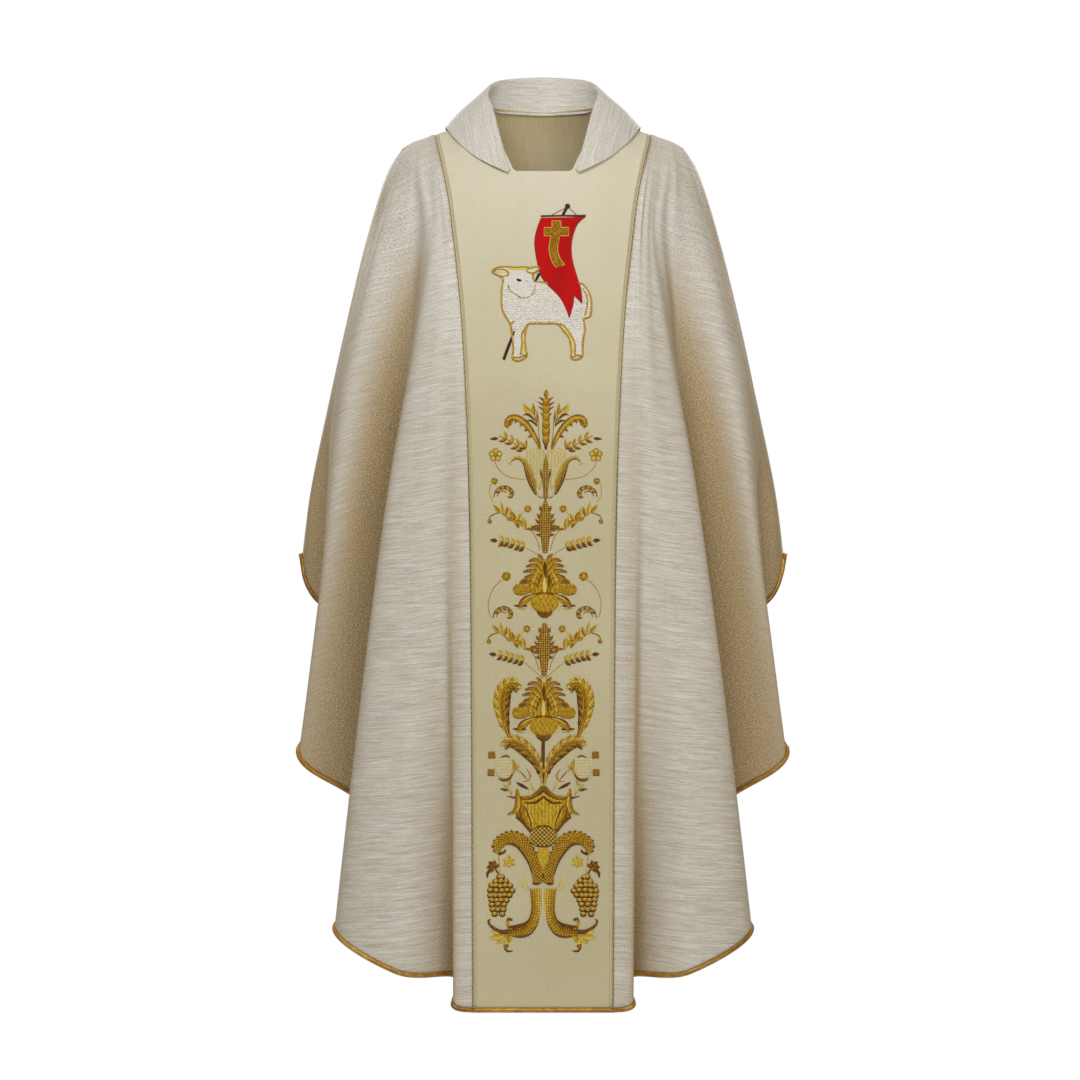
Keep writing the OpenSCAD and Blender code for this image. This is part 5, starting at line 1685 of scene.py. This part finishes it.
# ---- surroundings, in metres ----
CAMERA_FAR = 7.0
CAMERA_X = -0.0044
CAMERA_Z = -0.6194
FRAME_WIDTH = 1.593
SENSOR = 36
WORLD_LIGHT = 0.3
FLOOR_Z = -1.56
FLOOR_R = 0.95
FLOOR_T = 0.01
FLOOR_SIDES = 96
# name, place, what it looks at, width and height, power, colour
LIGHTS = [("key", (-0.7, -2.5, 1.8), (0, 0, -0.1), (1.6, 1.1), 50, (0.96, 0.98, 1.0)),
          ("fill", (1.2, -2.9, 0.2), (0, 0, -0.7), (1.8, 1.2), 22, (1.0, 0.94, 0.84)),
          ("back_left", (-2.2, 3.4, 1.4), (0, 0, -0.6), (2.0, 1.6), 45, (1, 1, 1)),
          ("back_right", (2.2, 3.4, 1.4), (0, 0, -0.6), (2.0, 1.6), 45, (1, 1, 1))]


def make_camera():
    data = bpy.data.cameras.new("camera")
    data.sensor_width = SENSOR
    data.lens = SENSOR * CAMERA_FAR / FRAME_WIDTH
    data.clip_end = 100
    camera = bpy.data.objects.new("camera", data)
    camera.location = (CAMERA_X, FRONT_ORPHREY[0][1] - CAMERA_FAR, CAMERA_Z)
    camera.rotation_euler = (math.radians(90), 0, 0)
    bpy.context.scene.collection.objects.link(camera)
    bpy.context.scene.camera = camera


def make_light(name, place, target, size, power, colour):
    data = bpy.data.lights.new(name, "AREA")
    data.shape = "RECTANGLE"
    data.size, data.size_y = size
    data.energy = power
    data.color = colour
    light = bpy.data.objects.new(name, data)
    light.location = place
    light.rotation_euler = (Vector(target) - Vector(place)).to_track_quat("-Z", "Y").to_euler()
    bpy.context.scene.collection.objects.link(light)


def make_world():
    """White behind the object, and a weaker white light from all round."""
    world = bpy.data.worlds.new("studio")
    bpy.context.scene.world = world
    world.use_nodes = True
    nodes, links = world.node_tree.nodes, world.node_tree.links
    seen, light = nodes["Background"], nodes.new("ShaderNodeBackground")
    for background, strength in ((seen, 1.0), (light, WORLD_LIGHT)):
        background.inputs["Color"].default_value = (1, 1, 1, 1)
        background.inputs["Strength"].default_value = strength
    path, mix = nodes.new("ShaderNodeLightPath"), nodes.new("ShaderNodeMixShader")
    links.new(path.outputs["Is Camera Ray"], mix.inputs[0])
    links.new(light.outputs[0], mix.inputs[1])
    links.new(seen.outputs[0], mix.inputs[2])
    links.new(mix.outputs[0], nodes["World Output"].inputs["Surface"])


def make_floor():
    bpy.ops.mesh.primitive_cylinder_add(radius=FLOOR_R, depth=FLOOR_T, location=(0, 0, FLOOR_Z),
                                        vertices=FLOOR_SIDES)
    floor = bpy.context.object
    floor.name = "floor"
    paint = Cloth("floor_paint", roughness=0.9, specular=0.1)
    colour = paint.colours(paint.noise(paint.place(30)), (0.3, 228, 228, 226), (0.7, 240, 240, 238))
    paint.plug(colour, paint.surface.inputs["Base Color"])
    floor.data.materials.append(paint.material)
    floor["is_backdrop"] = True


def make_studio():
    for light in LIGHTS:
        make_light(*light)
    make_world()
    make_floor()
    bpy.context.scene.view_settings.view_transform = "Standard"


GOLD_STOPS = [(84, 42, 0), (140, 88, 0), (190, 136, 2), (226, 186, 32), (248, 228, 120)]
DARK_STOPS = [(72, 36, 0), (120, 72, 2), (168, 116, 10), (208, 166, 42), (234, 210, 114)]
PALE_STOPS = [(96, 54, 2), (166, 112, 12), (208, 168, 58), (222, 204, 136), (234, 224, 178)]
BROWN_STOPS = [(34, 18, 12), (66, 36, 24), (104, 66, 44), (168, 130, 84)]
RED_STOPS = [(124, 0, 2), (206, 0, 2), (230, 0, 4), (238, 26, 20)]
BRAID_STOPS = [(116, 80, 14), (170, 126, 28), (198, 164, 70), (214, 194, 128), (220, 210, 172)]


def build():
    make_camera()
    brocade, orphrey, lining = brocade_material(), orphrey_material(), lining_material()
    stiffener, binding = stiffener_material(), satin_binding_material()
    gold = thread_material("gold_thread", GOLD_STOPS, shine=0.15, rough=0.4, uneven=0.75)
    dark = thread_material("dark_gold_thread", DARK_STOPS, shine=0.15, uneven=0.75)
    pale = thread_material("pale_gold_thread", PALE_STOPS, shine=0.1, uneven=0.6)
    brown = thread_material("brown_thread", BROWN_STOPS, rough=0.45)
    red = thread_material("red_thread", RED_STOPS, rough=0.5, pitch=1100, slant=1.57, uneven=0.3)
    braid = thread_material("galloon_braid", BRAID_STOPS, shine=0.3, rough=0.38)
    tapes(stiffener)
    body_panels(brocade)
    strip_panels("orphrey", 0, CLOTH_T, 1.0, orphrey)
    strip_panels("interlining", STIFFENER_IN, STIFFENER_IN + STIFFENER_T, STIFFENER_REACH, stiffener)
    linings(lining)
    facing(orphrey)
    collar(brocade, lining, stiffener)
    hem_bindings(binding)
    galloons(braid)
    fleece_piece(fleece_material())
    lamb_outline_piece(gold)
    lamb_face_piece(brown)
    banner_pieces(brown, red, gold)
    column_pieces(gold, dark, pale)
    make_studio()


build()
low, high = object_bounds()
{"cad": [list(c) for c in CAD_BOX], "visual": [list(c) for c in (low, high)]}
